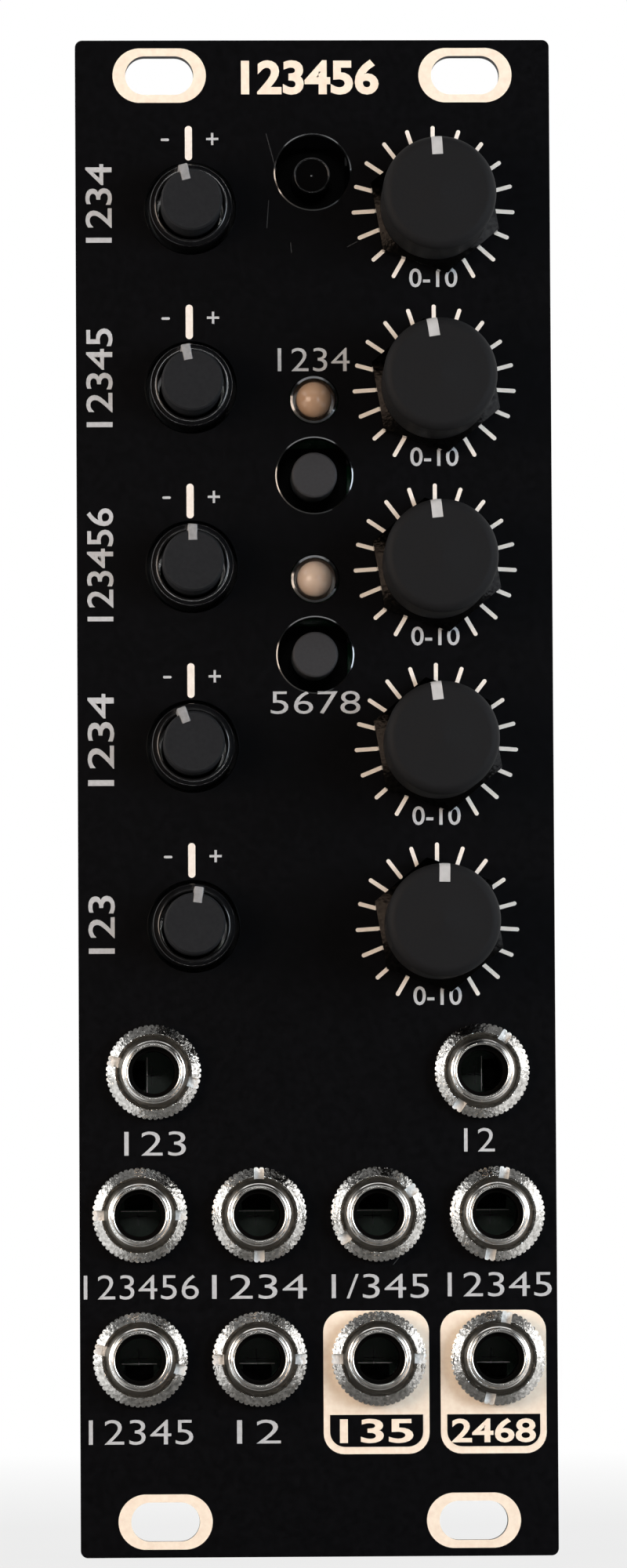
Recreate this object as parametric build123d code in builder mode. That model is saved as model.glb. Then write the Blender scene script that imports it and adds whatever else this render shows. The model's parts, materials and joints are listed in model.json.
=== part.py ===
"""A slim rack module: black panel, ten rotary controls, three buttons, two lights and ten jacks.

The module stands upright and faces -Y, with X to the viewer's right and Z up. The origin is the
centre of the four rail slots, on the rear face of the panel. Lengths are in millimetres. A height
is counted from the panel's rear face towards the viewer, so what lies behind it is negative.
"""
from build123d import *
import math
import os

# Shared fits
running_gap = 0.05        # a turning or sliding piece in its bearing
thread_gap = 0.02         # a nut on its thread, a spigot in its seat
solder_gap = 0.1          # a lead in its plated hole
overrun = 1.0             # how far a cut runs past the material

# Front panel, 8 units wide
panel_w = 40.3
panel_h = 128.5
panel_t = 1.6
panel_corner_r = 0.6
slot_inset = 7.15         # from the panel's side to a slot's centre
slot_spacing_z = 122.5
slot_length = 5.8
slot_w = 3.3

# Places of the controls on the panel, the insets counted from its nearer side
knob_inset = 9.85
trimmer_inset = 9.75
upper_jack_inset = 6.28
outer_jack_inset = 5.075
top_row_z = 49.9
row_pitch = 15.24
row_count = 5
recessed_switch_z = 53.0
upper_light_z = 33.6
upper_button_z = 27.15
upper_jack_z = -23.4
middle_jack_z = -35.45
lower_jack_z = -47.6

# Turns at rest, in degrees clockwise for the viewer
knob_turns = (-3, -9, -6, -7, 1)
trimmer_turns = (-14, -11, -1, -21, 7)
quarter_turn = 90
upper_jack_nut_turns = (15, -56)
middle_jack_nut_turns = (0, 90, -35, -80)
lower_jack_nut_turns = (14, 0, 0, -78)

# Boards
board_gap = 10.0
board_t = 1.6
control_board_margin = 0.2
control_board_top_z = 57.5
control_board_bottom_z = -55.0
main_board_margin = 0.95
main_board_top_z = 50.0
main_board_bottom_z = -36.0
board_corner_r = 1.0

# Potentiometers, large and small
pot_case_w = 9.5
pot_case_l = 10.6
pot_case_corner_r = 0.5
pot_body_h = 6.8
pot_front_wall = 0.9
pot_cavity_r = 4.1
pot_base_t = 1.4
pot_thread_r = 3.5
pot_thread_l = 7.0
pot_thread_chamfer = 0.3
pot_collar_r = 4.1
pot_collar_t = 0.5
pot_leg_w = 2.0
pot_leg_t = 0.4
pot_leg_drop = 1.0
pot_pin_spacing = 2.5
pot_pin_w = 0.8
pot_pin_t = 0.3
pot_pin_drop = 1.2
rotor_r = 3.8
rotor_t = 1.6
rotor_gap = 0.2
rotor_hub_r = 2.0
wiper_r = 3.5
wiper_hole_r = 1.2
wiper_t = 0.2
wiper_gap = 0.1
track_r = 3.6
track_hole_r = 1.4
track_t = 0.2

# Large shafts and their knobs
knob_shaft_r = 3.0
knob_shaft_l = 6.2
knob_shaft_flat = 1.5
knob_hole_r = 3.6
hex_nut_across = 10.0
hex_nut_t = 2.0
hex_nut_chamfer = 0.35
hex_nut_corner_angle = 40
knob_base_r = 4.65
knob_top_r = 4.78
knob_h = 9.7
knob_lift = 0.3
knob_crown = 0.25
knob_edge_r = 0.8
knob_recess_r = 3.9
knob_recess_h = 0.5
knob_pointer_w = 0.9
knob_pointer_l = 1.6
knob_pointer_t = 0.5

# Small shafts, turned without a knob
trimmer_hole_r = 3.95
trimmer_bore_r = 2.9
trimmer_shaft_r = 2.58
trimmer_shaft_l = 4.5
trimmer_shaft_chamfer = 0.15
fin_w = 0.8
fin_inner_r = 1.75
fin_outer_r = 3.1
fin_lift = 0.3
fin_corner_r = 0.12

# Buttons
button_hole_r = 3.2
switch_w = 6.0
switch_body_h = 3.1
switch_corner_r = 0.3
switch_cavity_r = 2.3
switch_cavity_h = 2.4
cover_t = 0.3
plunger_r = 1.6
plunger_flange_r = 2.1
plunger_flange_t = 0.7
plunger_chamfer = 0.2
recessed_plunger_top = -0.9
button_travel = 0.25
dome_r = 2.1
dome_t = 0.1
dome_rise = 0.35
cap_r = 1.93
cap_top = 2.0
cap_l = 4.5
cap_end_t = 0.8
cap_edge_r = 0.2
switch_pin_w = 0.7
switch_pin_t = 0.3
switch_pin_spacing = 4.5
switch_pin_drop = 1.0
switch_pin_rise = 0.5

# Indicator lights
light_hole_r = 2.1
lens_r = 1.5
lens_l = 5.3
lens_flange_r = 1.9
lens_flange_t = 1.0
light_lead_w = 0.5
light_lead_spacing = 1.27
light_lead_drop = 1.0

# Jacks
jack_hole_r = 3.1
jack_bore_r = 1.8
jack_thread_r = 3.0
jack_front_r = 2.65
jack_mouth_r = 2.17
jack_mouth_depth = 1.8
jack_front_h = 3.9
jack_lip_fall = 0.25          # how far the lip slopes back from its mouth
jack_flange_t = 0.5
jack_spigot_r = 2.7
jack_spigot_l = 0.6
jack_nut_r = 4.0
jack_nut_t = 1.9
jack_nut_rim_h = 1.3
jack_nut_face_r = 3.25
jack_nut_chamfer = 0.2
jack_nut_slot_w = 0.85
jack_nut_slot_depth = 0.9
jack_nut_teeth = 52
jack_nut_tooth_depth = 0.14
jack_housing_gap = 1.05
jack_housing_short = 4.5
jack_housing_long = 6.0
jack_housing_corner_r = 0.5
jack_cavity_r = 2.3
jack_pocket_w = 3.2
jack_pocket_l = 5.4
jack_pocket_depth = 7.4
spring_w = 2.4
spring_t = 0.22
spring_pin_y = 5.0
spring_top = -3.6
spring_apex_y = 0.5
spring_apex = -7.3
spring_tail_y = 1.5
spring_tail = -9.0
spring_bend_r = 0.5
contact_pin_y = 3.3
contact_tip_y = 2.7
contact_bend_drop = 0.5
contact_gap = 0.08
jack_tab_w = 2.0
jack_tab_t = 0.4
jack_pin_w = 1.0
jack_pin_drop = 0.8

# Connectors between the boards
socket_columns = 2
socket_rows = 6
pin_spacing = 2.54
pin_w = 0.64
pin_tail = 1.2
socket_h = 8.5
strip_h = 2.5
pin_reach = 6.0
socket_hole_depth = 6.8
upper_socket_z = 42.6
lower_socket_z = -21.0

# Spacers and screws that hold the boards together
spacer_across = 5.0
spacer_inset = 1.7
spacer_z = 27.1
screw_r = 1.25
screw_length = 4.0
screw_head_r = 2.25
screw_head_t = 1.5
screw_recess_w = 0.6
screw_recess_l = 2.4
screw_recess_depth = 0.8

# Power header
power_columns = 5
power_rows = 2
power_z = 8.0
power_w = 20.3
power_l = 8.8
power_h = 8.9
power_wall = 1.2
power_floor = 2.4
power_key_w = 4.5
power_pin_l = 6.0

# Chips and loose components on the main board
processor_w = 10.0
processor_t = 1.4
codec_w = 7.0
codec_t = 1.2
amplifier_w = 3.9
amplifier_l = 4.9
amplifier_t = 1.5
regulator_w = 3.5
regulator_l = 6.5
regulator_t = 1.7
chip_edge = 0.15
chip_mark_r = 0.4
chip_mark_depth = 0.1
processor_place_shares = [(-0.22, 0.26)]
codec_place_shares = [(0.24, 0.27)]
amplifier_place_shares = [(-0.3, -0.2), (0.3, -0.2), (-0.3, -0.36), (0.3, -0.36)]
regulator_place_shares = [(-0.4, 0.02), (0.4, 0.02)]
can_r = 3.15
can_h = 5.4
can_foot_w = 6.6
can_foot_t = 0.9
can_place_shares = [(-0.36, -0.07), (0.36, -0.07), (0.02, 0.22)]
passive_w = 0.85
passive_l = 1.6
passive_t = 0.5
passive_columns = 6
passive_rows = 3
passive_spacing_share = 0.07

# Everything below follows from the sizes above
os.makedirs("parts", exist_ok=True)

knob_x = panel_w / 2 - knob_inset
trimmer_x = trimmer_inset - panel_w / 2
slot_spacing_x = panel_w - 2 * slot_inset
upper_jack_x = panel_w / 2 - upper_jack_inset
jack_column_shares = (-1.5, -0.5, 0.5, 1.5)
jack_pitch_x = (panel_w / 2 - outer_jack_inset) / jack_column_shares[-1]
control_board_w = panel_w - 2 * control_board_margin
main_board_w = control_board_w - 2 * main_board_margin
spacer_x = main_board_w / 2 - spacer_inset
jack_housing_w = jack_pitch_x - jack_housing_gap
row_heights_z = [top_row_z - row_pitch * row for row in range(row_count)]
knob_places = [(knob_x, z) for z in row_heights_z]
trimmer_places = [(trimmer_x, z) for z in row_heights_z]
light_places = [(0, upper_light_z), (0, upper_light_z - row_pitch)]
button_places = [(0, upper_button_z), (0, upper_button_z - row_pitch)]
switch_places = [(0, recessed_switch_z)] + button_places
jack_columns_x = [jack_pitch_x * share for share in jack_column_shares]
jack_places = (
    [(side * upper_jack_x, upper_jack_z, side * quarter_turn) for side in (-1, 1)]
    + [(x, middle_jack_z, 0) for x in jack_columns_x]
    + [(x, lower_jack_z, 2 * quarter_turn) for x in jack_columns_x]
)
jack_nut_turns = upper_jack_nut_turns + middle_jack_nut_turns + lower_jack_nut_turns

board_front = -board_gap
board_rear = board_front - board_t
main_front = board_rear - socket_h - strip_h
main_rear = main_front - board_t
pot_front = board_front + pot_body_h
pot_base_front = board_front + pot_base_t
pot_thread_end = pot_front + pot_thread_l
hex_nut_top = panel_t + hex_nut_t
knob_bottom = hex_nut_top + knob_lift
knob_top = knob_bottom + knob_h
knob_shaft_end = pot_thread_end + knob_shaft_l
trimmer_shaft_end = pot_thread_end + trimmer_shaft_l
fin_bottom = pot_thread_end + fin_lift
rotor_front = pot_front - pot_front_wall - rotor_gap
rotor_rear = rotor_front - rotor_t
track_front = pot_base_front + track_t
wiper_rear = track_front + wiper_gap
switch_top = board_front + switch_body_h
cover_top = switch_top + cover_t
plunger_foot = board_front + switch_body_h - switch_cavity_h + dome_rise + dome_t + button_travel
lens_top = panel_t + lens_r
lens_foot = lens_top - lens_l
jack_nut_top = panel_t + jack_nut_t
jack_seat = -jack_flange_t
lead_hole_r = pin_w * math.sqrt(2) / 2 + solder_gap / 2
header_places = [(0, upper_socket_z), (0, lower_socket_z)]
socket_w = socket_columns * pin_spacing
socket_l = socket_rows * pin_spacing
spacer_places = [(-spacer_x, spacer_z), (spacer_x, spacer_z)]
spacer_l = socket_h + strip_h
pot_pin_y = pot_case_l / 2 + pot_pin_t / 2
pot_leg_x = pot_case_w / 2 + pot_leg_t / 2


def seat(x, z, turn=0, height=0):
    """The frame of a control at a place of the panel, its z towards the viewer, turned clockwise."""
    lean = math.radians(turn)
    side = (math.cos(lean), 0, -math.sin(lean))
    return Plane(origin=(x, -height, z), x_dir=side, z_dir=(0, -1, 0))


def facing(height):
    """A plane in front of the panel's rear face, drawn on in X and Z."""
    return Plane.XZ.offset(height)


def save(part, name):
    """Labels a finished piece and writes it under its own name."""
    part.label = name
    export_step(part, f"parts/{name}.step")


def section(*points):
    """Draws half of a turned piece's section, from radius and height pairs."""
    Polygon(*points, align=None)


def flatted_circle(radius, flat):
    """Draws a round shaft's section with one flat, on the side away from the pointer."""
    Circle(radius)
    with Locations((0, -flat)):
        Rectangle(2 * radius, radius, align=(Align.CENTER, Align.MAX), mode=Mode.SUBTRACT)


def knob_section(inset):
    """Draws half of the knob's section, inset from its skin."""
    bottom, top = knob_bottom, knob_top - inset
    shoulder = (knob_top_r - inset, top - knob_crown)
    with BuildLine() as outline:
        Line((0, bottom), (knob_base_r - inset, bottom))
        Line((knob_base_r - inset, bottom), shoulder)
        RadiusArc(shoulder, (0, top), crown_r)
        Line((0, top), (0, bottom))
    make_face(outline.edges())
    fillet(vertices().sort_by_distance(shoulder)[0], knob_edge_r - inset)


crown_r = (knob_top_r**2 + knob_crown**2) / (2 * knob_crown)

# Front panel
with BuildPart() as front_panel:
    with BuildSketch(facing(0)):
        RectangleRounded(panel_w, panel_h, panel_corner_r)
        with GridLocations(slot_spacing_x, slot_spacing_z, 2, 2):
            SlotOverall(slot_length, slot_w, mode=Mode.SUBTRACT)
        with Locations(*knob_places):
            Circle(knob_hole_r, mode=Mode.SUBTRACT)
        with Locations(*trimmer_places):
            Circle(trimmer_hole_r, mode=Mode.SUBTRACT)
        with Locations(*light_places):
            Circle(light_hole_r, mode=Mode.SUBTRACT)
        with Locations(*switch_places):
            Circle(button_hole_r, mode=Mode.SUBTRACT)
        with Locations(*[(x, z) for x, z, _ in jack_places]):
            Circle(jack_hole_r, mode=Mode.SUBTRACT)
    extrude(amount=panel_t)
save(front_panel.part, "front_panel")

# Control board, with a hole for every lead
pot_pin_offsets = [(i * pot_pin_spacing, -pot_pin_y) for i in (-1, 0, 1)]
light_lead_offsets = [(i * light_lead_spacing, 0) for i in (-1, 0, 1)]
switch_pin_x = switch_w / 2 + switch_pin_t / 2
jack_tab_y = -jack_housing_short - jack_tab_t / 2
pot_places = knob_places + trimmer_places
with BuildPart() as control_board:
    with BuildSketch(facing(board_rear)):
        middle_z = (control_board_top_z + control_board_bottom_z) / 2
        with Locations((0, middle_z)):
            RectangleRounded(control_board_w, control_board_top_z - control_board_bottom_z, board_corner_r)
        with Locations(*pot_places):
            with Locations(*pot_pin_offsets):
                Circle(pot_pin_w / 2 + solder_gap, mode=Mode.SUBTRACT)
            with Locations((-pot_leg_x, 0), (pot_leg_x, 0)):
                leg_hole_w = pot_leg_t + 2 * solder_gap
                SlotOverall(pot_leg_w + leg_hole_w, leg_hole_w, rotation=quarter_turn, mode=Mode.SUBTRACT)
        with Locations(*light_places):
            with Locations(*light_lead_offsets):
                Circle(light_lead_w * math.sqrt(2) / 2 + solder_gap / 2, mode=Mode.SUBTRACT)
        with Locations(*switch_places):
            with GridLocations(2 * switch_pin_x, switch_pin_spacing, 2, 2):
                Circle(switch_pin_w / 2 + solder_gap, mode=Mode.SUBTRACT)
        with Locations(*[Location((x, z, 0), (0, 0, -turn)) for x, z, turn in jack_places]):
            with Locations((0, spring_pin_y), (0, contact_pin_y), (0, jack_tab_y)):
                Circle(jack_pin_w / 2 + solder_gap, mode=Mode.SUBTRACT)
        with Locations(*header_places):
            with GridLocations(pin_spacing, pin_spacing, socket_columns, socket_rows):
                Circle(lead_hole_r, mode=Mode.SUBTRACT)
        with Locations(*spacer_places):
            Circle(screw_r + solder_gap, mode=Mode.SUBTRACT)
    extrude(amount=board_t)
save(control_board.part, "control_board")

# Potentiometers: the steel case with its two snap legs, the base plate, the track and the terminals
with BuildPart() as pot_case_blank:
    with BuildSketch(Plane.XY.offset(pot_base_front)):
        RectangleRounded(pot_case_w, pot_case_l, pot_case_corner_r)
    extrude(amount=pot_front - pot_base_front)
    with BuildSketch(Plane.XY.offset(board_rear - pot_leg_drop)):
        with Locations((-pot_leg_x, 0), (pot_leg_x, 0)):
            Rectangle(pot_leg_t, pot_leg_w)
    extrude(amount=pot_front - pot_front_wall - board_rear + pot_leg_drop)
    with BuildSketch(Plane.XY.offset(pot_base_front)):
        Circle(pot_cavity_r)
    extrude(amount=pot_front - pot_front_wall - pot_base_front, mode=Mode.SUBTRACT)

pot_seats = [seat(x, z) for x, z in pot_places]
knob_seats = [seat(x, z) for x, z in knob_places]
trimmer_seats = [seat(x, z) for x, z in trimmer_places]
with BuildPart() as pot_cases:
    with Locations(*pot_seats):
        add(pot_case_blank.part)
    with BuildSketch(facing(pot_front)):
        with Locations(*knob_places):
            Circle(knob_shaft_r + running_gap)
        with Locations(*trimmer_places):
            Circle(trimmer_shaft_r + running_gap)
    extrude(amount=-pot_front_wall - overrun, mode=Mode.SUBTRACT)
save(pot_cases.part, "pot_cases")

with BuildPart() as pot_bases:
    with BuildSketch(facing(board_front)):
        with Locations(*pot_places):
            RectangleRounded(pot_case_w, pot_case_l, pot_case_corner_r)
    extrude(amount=pot_base_t)
save(pot_bases.part, "pot_bases")

with BuildPart() as resistor_tracks:
    with BuildSketch(facing(pot_base_front)):
        with Locations(*pot_places):
            Circle(track_r)
            Circle(track_hole_r, mode=Mode.SUBTRACT)
    extrude(amount=track_t)
save(resistor_tracks.part, "resistor_tracks")

with BuildPart() as pot_terminals:
    with BuildSketch(facing(board_rear - pot_pin_drop)):
        with Locations(*pot_places):
            with Locations(*pot_pin_offsets):
                Rectangle(pot_pin_w, pot_pin_t)
    extrude(amount=pot_base_front - board_rear + pot_pin_drop)
save(pot_terminals.part, "pot_terminals")

with BuildPart() as thread_blank:
    with BuildSketch(Plane.XZ):
        section(
            (knob_shaft_r + running_gap, pot_front),
            (pot_collar_r, pot_front),
            (pot_collar_r, pot_front + pot_collar_t),
            (pot_thread_r, pot_front + pot_collar_t),
            (pot_thread_r, pot_thread_end - pot_thread_chamfer),
            (pot_thread_r - pot_thread_chamfer, pot_thread_end),
            (knob_shaft_r + running_gap, pot_thread_end),
        )
    revolve(axis=Axis.Z)
with BuildPart() as pot_bushings:
    with Locations(*knob_seats):
        add(thread_blank.part)
save(pot_bushings.part, "pot_bushings")

with BuildPart() as sleeve_blank:
    with BuildSketch(Plane.XZ):
        section(
            (trimmer_bore_r, pot_front),
            (pot_collar_r, pot_front),
            (pot_collar_r, pot_front + pot_collar_t),
            (pot_thread_r, pot_front + pot_collar_t),
            (pot_thread_r, pot_thread_end - pot_thread_chamfer),
            (pot_thread_r - pot_thread_chamfer, pot_thread_end),
            (trimmer_bore_r, pot_thread_end),
        )
    revolve(axis=Axis.Z)
with BuildPart() as trimmer_bushings:
    with Locations(*trimmer_seats):
        add(sleeve_blank.part)
save(trimmer_bushings.part, "trimmer_bushings")

# Hex nuts, their corners turned off at a slant on the front
hex_corner_r = hex_nut_across / math.sqrt(3)
with BuildPart() as hex_nut_blank:
    with BuildSketch(Plane.XY.offset(panel_t)):
        RegularPolygon(hex_nut_across / 2, 6, major_radius=False, rotation=hex_nut_corner_angle)
        Circle(pot_thread_r + thread_gap, mode=Mode.SUBTRACT)
    extrude(amount=hex_nut_t)
    with BuildSketch(Plane.XZ):
        section(
            (0, panel_t),
            (hex_corner_r, panel_t),
            (hex_corner_r, hex_nut_top - hex_nut_chamfer),
            (hex_nut_across / 2 - hex_nut_chamfer, hex_nut_top),
            (0, hex_nut_top),
        )
    revolve(axis=Axis.Z, mode=Mode.INTERSECT)
with BuildPart() as pot_nuts:
    with Locations(*knob_seats):
        add(hex_nut_blank.part)
save(pot_nuts.part, "pot_nuts")

# Large shafts: a flatted shaft on a rotor, with a spring wiper riveted under it
with BuildPart() as wiper_blank:
    with BuildSketch(Plane.XY.offset(wiper_rear)):
        Circle(wiper_r)
        Circle(wiper_hole_r, mode=Mode.SUBTRACT)
    extrude(amount=wiper_t)

with BuildPart() as knob_shaft_blank:
    with BuildSketch(Plane.XY.offset(rotor_front)):
        Circle(knob_shaft_r)
    extrude(amount=pot_thread_end - rotor_front)
    with BuildSketch(Plane.XY.offset(pot_thread_end)):
        flatted_circle(knob_shaft_r, knob_shaft_flat)
    extrude(amount=knob_shaft_l)
    with BuildSketch(Plane.XY.offset(rotor_rear)):
        Circle(rotor_r)
    extrude(amount=rotor_t)
    with BuildSketch(Plane.XY.offset(wiper_rear + wiper_t)):
        Circle(rotor_hub_r)
    extrude(amount=rotor_rear - wiper_rear - wiper_t)

# Small shafts: plain, chamfered, with a slot for the pointer fin
with BuildPart() as trimmer_shaft_blank:
    with BuildSketch(Plane.XY.offset(rotor_front)):
        Circle(trimmer_shaft_r)
    extrude(amount=trimmer_shaft_end - rotor_front)
    chamfer(faces().sort_by(Axis.Z)[-1].edges(), trimmer_shaft_chamfer)
    with BuildSketch(Plane.XY.offset(rotor_rear)):
        Circle(rotor_r)
    extrude(amount=rotor_t)
    with BuildSketch(Plane.XY.offset(wiper_rear + wiper_t)):
        Circle(rotor_hub_r)
    extrude(amount=rotor_rear - wiper_rear - wiper_t)
    with BuildSketch(Plane.XY.offset(fin_bottom)):
        with Locations((0, fin_inner_r)):
            Rectangle(fin_w, fin_outer_r, align=(Align.CENTER, Align.MIN))
    extrude(amount=trimmer_shaft_end - fin_bottom + overrun, mode=Mode.SUBTRACT)

with BuildPart() as fin_blank:
    with BuildSketch(Plane.XY.offset(fin_bottom)):
        with Locations((0, fin_inner_r)):
            Rectangle(fin_w, fin_outer_r - fin_inner_r, align=(Align.CENTER, Align.MIN))
    extrude(amount=trimmer_shaft_end - fin_bottom)
    fillet(edges().filter_by(Axis.Z).group_by(Axis.Y)[-1], fin_corner_r)
    fillet(edges().filter_by(Axis.X).group_by(Axis.Z)[-1].sort_by(Axis.Y)[-1], fin_corner_r)

# Knobs, with the pointer let into the crown and down the side
with BuildPart() as pointer_blank:
    with BuildSketch(Plane.XZ):
        knob_section(0)
        with BuildSketch(Plane.XZ, mode=Mode.PRIVATE) as core:
            knob_section(knob_pointer_t)
        add(core.sketch_local, mode=Mode.SUBTRACT)
    revolve(axis=Axis.Z)
    with BuildSketch(Plane.XY.offset(knob_bottom)):
        with Locations((0, knob_top_r - knob_pointer_l)):
            Rectangle(knob_pointer_w, knob_top_r, align=(Align.CENTER, Align.MIN))
    extrude(amount=knob_h, mode=Mode.INTERSECT)

with BuildPart() as knob_blank:
    with BuildSketch(Plane.XZ):
        knob_section(0)
    revolve(axis=Axis.Z)
    with BuildSketch(Plane.XY.offset(knob_bottom)):
        flatted_circle(knob_shaft_r + thread_gap, knob_shaft_flat + thread_gap)
    extrude(amount=knob_shaft_end + knob_lift - knob_bottom, mode=Mode.SUBTRACT)
    with BuildSketch(Plane.XY.offset(knob_bottom)):
        Circle(knob_recess_r)
    extrude(amount=knob_recess_h, mode=Mode.SUBTRACT)
    add(pointer_blank.part, mode=Mode.SUBTRACT)

for number, ((x, z), turn) in enumerate(zip(knob_places, knob_turns), start=1):
    with BuildPart() as knob:
        with Locations(seat(x, z, turn)):
            add(knob_blank.part)
    save(knob.part, f"knob_{number}")
    with BuildPart() as knob_pointer:
        with Locations(seat(x, z, turn)):
            add(pointer_blank.part)
    save(knob_pointer.part, f"knob_{number}_pointer")
    with BuildPart() as knob_shaft:
        with Locations(seat(x, z, turn)):
            add(knob_shaft_blank.part)
            add(wiper_blank.part)
    save(knob_shaft.part, f"knob_{number}_shaft")

for number, ((x, z), turn) in enumerate(zip(trimmer_places, trimmer_turns), start=1):
    with BuildPart() as trimmer_shaft:
        with Locations(seat(x, z, turn)):
            add(trimmer_shaft_blank.part)
            add(wiper_blank.part)
    save(trimmer_shaft.part, f"trimmer_{number}_shaft")
    with BuildPart() as trimmer_pointer:
        with Locations(seat(x, z, turn)):
            add(fin_blank.part)
    save(trimmer_pointer.part, f"trimmer_{number}_pointer")

# Push switches: housing, steel cover, snap dome and four pins each
with BuildPart() as switch_housings:
    with BuildSketch(facing(board_front)):
        with Locations(*switch_places):
            RectangleRounded(switch_w, switch_w, switch_corner_r)
    extrude(amount=switch_body_h)
    with BuildSketch(facing(switch_top)):
        with Locations(*switch_places):
            Circle(switch_cavity_r)
    extrude(amount=-switch_cavity_h, mode=Mode.SUBTRACT)
save(switch_housings.part, "switch_housings")

with BuildPart() as switch_covers:
    with BuildSketch(facing(switch_top)):
        with Locations(*switch_places):
            RectangleRounded(switch_w, switch_w, switch_corner_r)
            Circle(plunger_r + running_gap, mode=Mode.SUBTRACT)
    extrude(amount=cover_t)
save(switch_covers.part, "switch_covers")

dome_foot = switch_top - switch_cavity_h
with BuildPart() as dome_blank:
    with BuildSketch(Plane.XZ):
        with BuildLine():
            outer = ThreePointArc(
                (-dome_r, dome_foot), (0, dome_foot + dome_rise + dome_t), (dome_r, dome_foot)
            )
            inner = ThreePointArc(
                (-dome_r + dome_t, dome_foot), (0, dome_foot + dome_rise), (dome_r - dome_t, dome_foot)
            )
            Line(outer @ 0, inner @ 0)
            Line(outer @ 1, inner @ 1)
        make_face()
        with Locations((0, dome_foot)):
            Rectangle(dome_r, dome_r, align=(Align.MIN, Align.MIN), mode=Mode.INTERSECT)
    revolve(axis=Axis.Z)
with BuildPart() as switch_domes:
    with Locations(*[seat(x, z) for x, z in switch_places]):
        add(dome_blank.part)
save(switch_domes.part, "switch_domes")

with BuildPart() as switch_pins:
    with BuildSketch(facing(board_rear - switch_pin_drop)):
        with Locations(*switch_places):
            with GridLocations(2 * switch_pin_x, switch_pin_spacing, 2, 2):
                Rectangle(switch_pin_t, switch_pin_w)
    extrude(amount=board_t + switch_pin_drop + switch_pin_rise)
save(switch_pins.part, "switch_pins")


def plunger_section(top):
    """Draws half of a plunger's section: foot, flange under the cover, stem."""
    flange_top = switch_top - running_gap
    section(
        (0, plunger_foot),
        (plunger_r, plunger_foot),
        (plunger_r, flange_top - plunger_flange_t),
        (plunger_flange_r, flange_top - plunger_flange_t),
        (plunger_flange_r, flange_top),
        (plunger_r, flange_top),
        (plunger_r, top - plunger_chamfer),
        (plunger_r - plunger_chamfer, top),
        (0, top),
    )


with BuildPart() as recessed_plunger_blank:
    with BuildSketch(Plane.XZ):
        plunger_section(recessed_plunger_top)
    revolve(axis=Axis.Z)
with BuildPart() as recessed_button_plunger:
    with Locations(seat(0, recessed_switch_z)):
        add(recessed_plunger_blank.part)
save(recessed_button_plunger.part, "recessed_button_plunger")

with BuildPart() as plunger_blank:
    with BuildSketch(Plane.XZ):
        plunger_section(cap_top - cap_end_t)
    revolve(axis=Axis.Z)

with BuildPart() as cap_blank:
    with BuildSketch(Plane.XY.offset(cap_top - cap_l)):
        Circle(cap_r)
    extrude(amount=cap_l)
    fillet(faces().sort_by(Axis.Z)[-1].edges(), cap_edge_r)
    with BuildSketch(Plane.XY.offset(cap_top - cap_l)):
        Circle(plunger_r + thread_gap)
    extrude(amount=cap_l - cap_end_t, mode=Mode.SUBTRACT)

for name, (x, z) in zip(("upper_button", "lower_button"), button_places):
    with BuildPart() as button_cap:
        with Locations(seat(x, z)):
            add(cap_blank.part)
    save(button_cap.part, f"{name}_cap")
    with BuildPart() as button_plunger:
        with Locations(seat(x, z)):
            add(plunger_blank.part)
    save(button_plunger.part, f"{name}_plunger")

# Indicator lights: a flanged lens with a domed end, and three leads
with BuildPart() as lens_blank:
    with BuildSketch(Plane.XZ):
        with BuildLine():
            Polyline(
                (0, lens_top),
                (0, lens_foot),
                (lens_flange_r, lens_foot),
                (lens_flange_r, lens_foot + lens_flange_t),
                (lens_r, lens_foot + lens_flange_t),
                (lens_r, lens_top - lens_r),
            )
            RadiusArc((lens_r, lens_top - lens_r), (0, lens_top), -lens_r)
        make_face()
    revolve(axis=Axis.Z)
with BuildPart() as light_lenses:
    with Locations(*[seat(x, z) for x, z in light_places]):
        add(lens_blank.part)
save(light_lenses.part, "light_lenses")

with BuildPart() as light_leads:
    with BuildSketch(facing(board_rear - light_lead_drop)):
        with Locations(*light_places):
            with Locations(*light_lead_offsets):
                Rectangle(light_lead_w, light_lead_w)
    extrude(amount=lens_foot - board_rear + light_lead_drop)
save(light_leads.part, "light_leads")

# Jacks: the threaded bushing is the sleeve contact and clamps the housing to the panel
jack_seats = [seat(x, z, turn) for x, z, turn in jack_places]
with BuildPart() as jack_bushing_blank:
    with BuildSketch(Plane.XZ):
        section(
            (jack_bore_r, jack_seat - jack_spigot_l),
            (jack_spigot_r, jack_seat - jack_spigot_l),
            (jack_spigot_r, jack_seat),
            (jack_thread_r, jack_seat),
            (jack_thread_r, jack_front_h - jack_lip_fall - jack_thread_r + jack_front_r),
            (jack_front_r, jack_front_h - jack_lip_fall),
            (jack_mouth_r, jack_front_h),
            (jack_mouth_r, jack_front_h - jack_mouth_depth),
            (jack_bore_r, jack_front_h - jack_mouth_depth),
        )
    revolve(axis=Axis.Z)
    with BuildSketch(Plane.XY.offset(jack_seat)):
        Rectangle(jack_housing_w, 2 * jack_housing_short)
        Circle(jack_thread_r, mode=Mode.SUBTRACT)
    extrude(amount=jack_flange_t)
with BuildPart() as jack_bushings:
    with Locations(*jack_seats):
        add(jack_bushing_blank.part)
save(jack_bushings.part, "jack_bushings")

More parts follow.
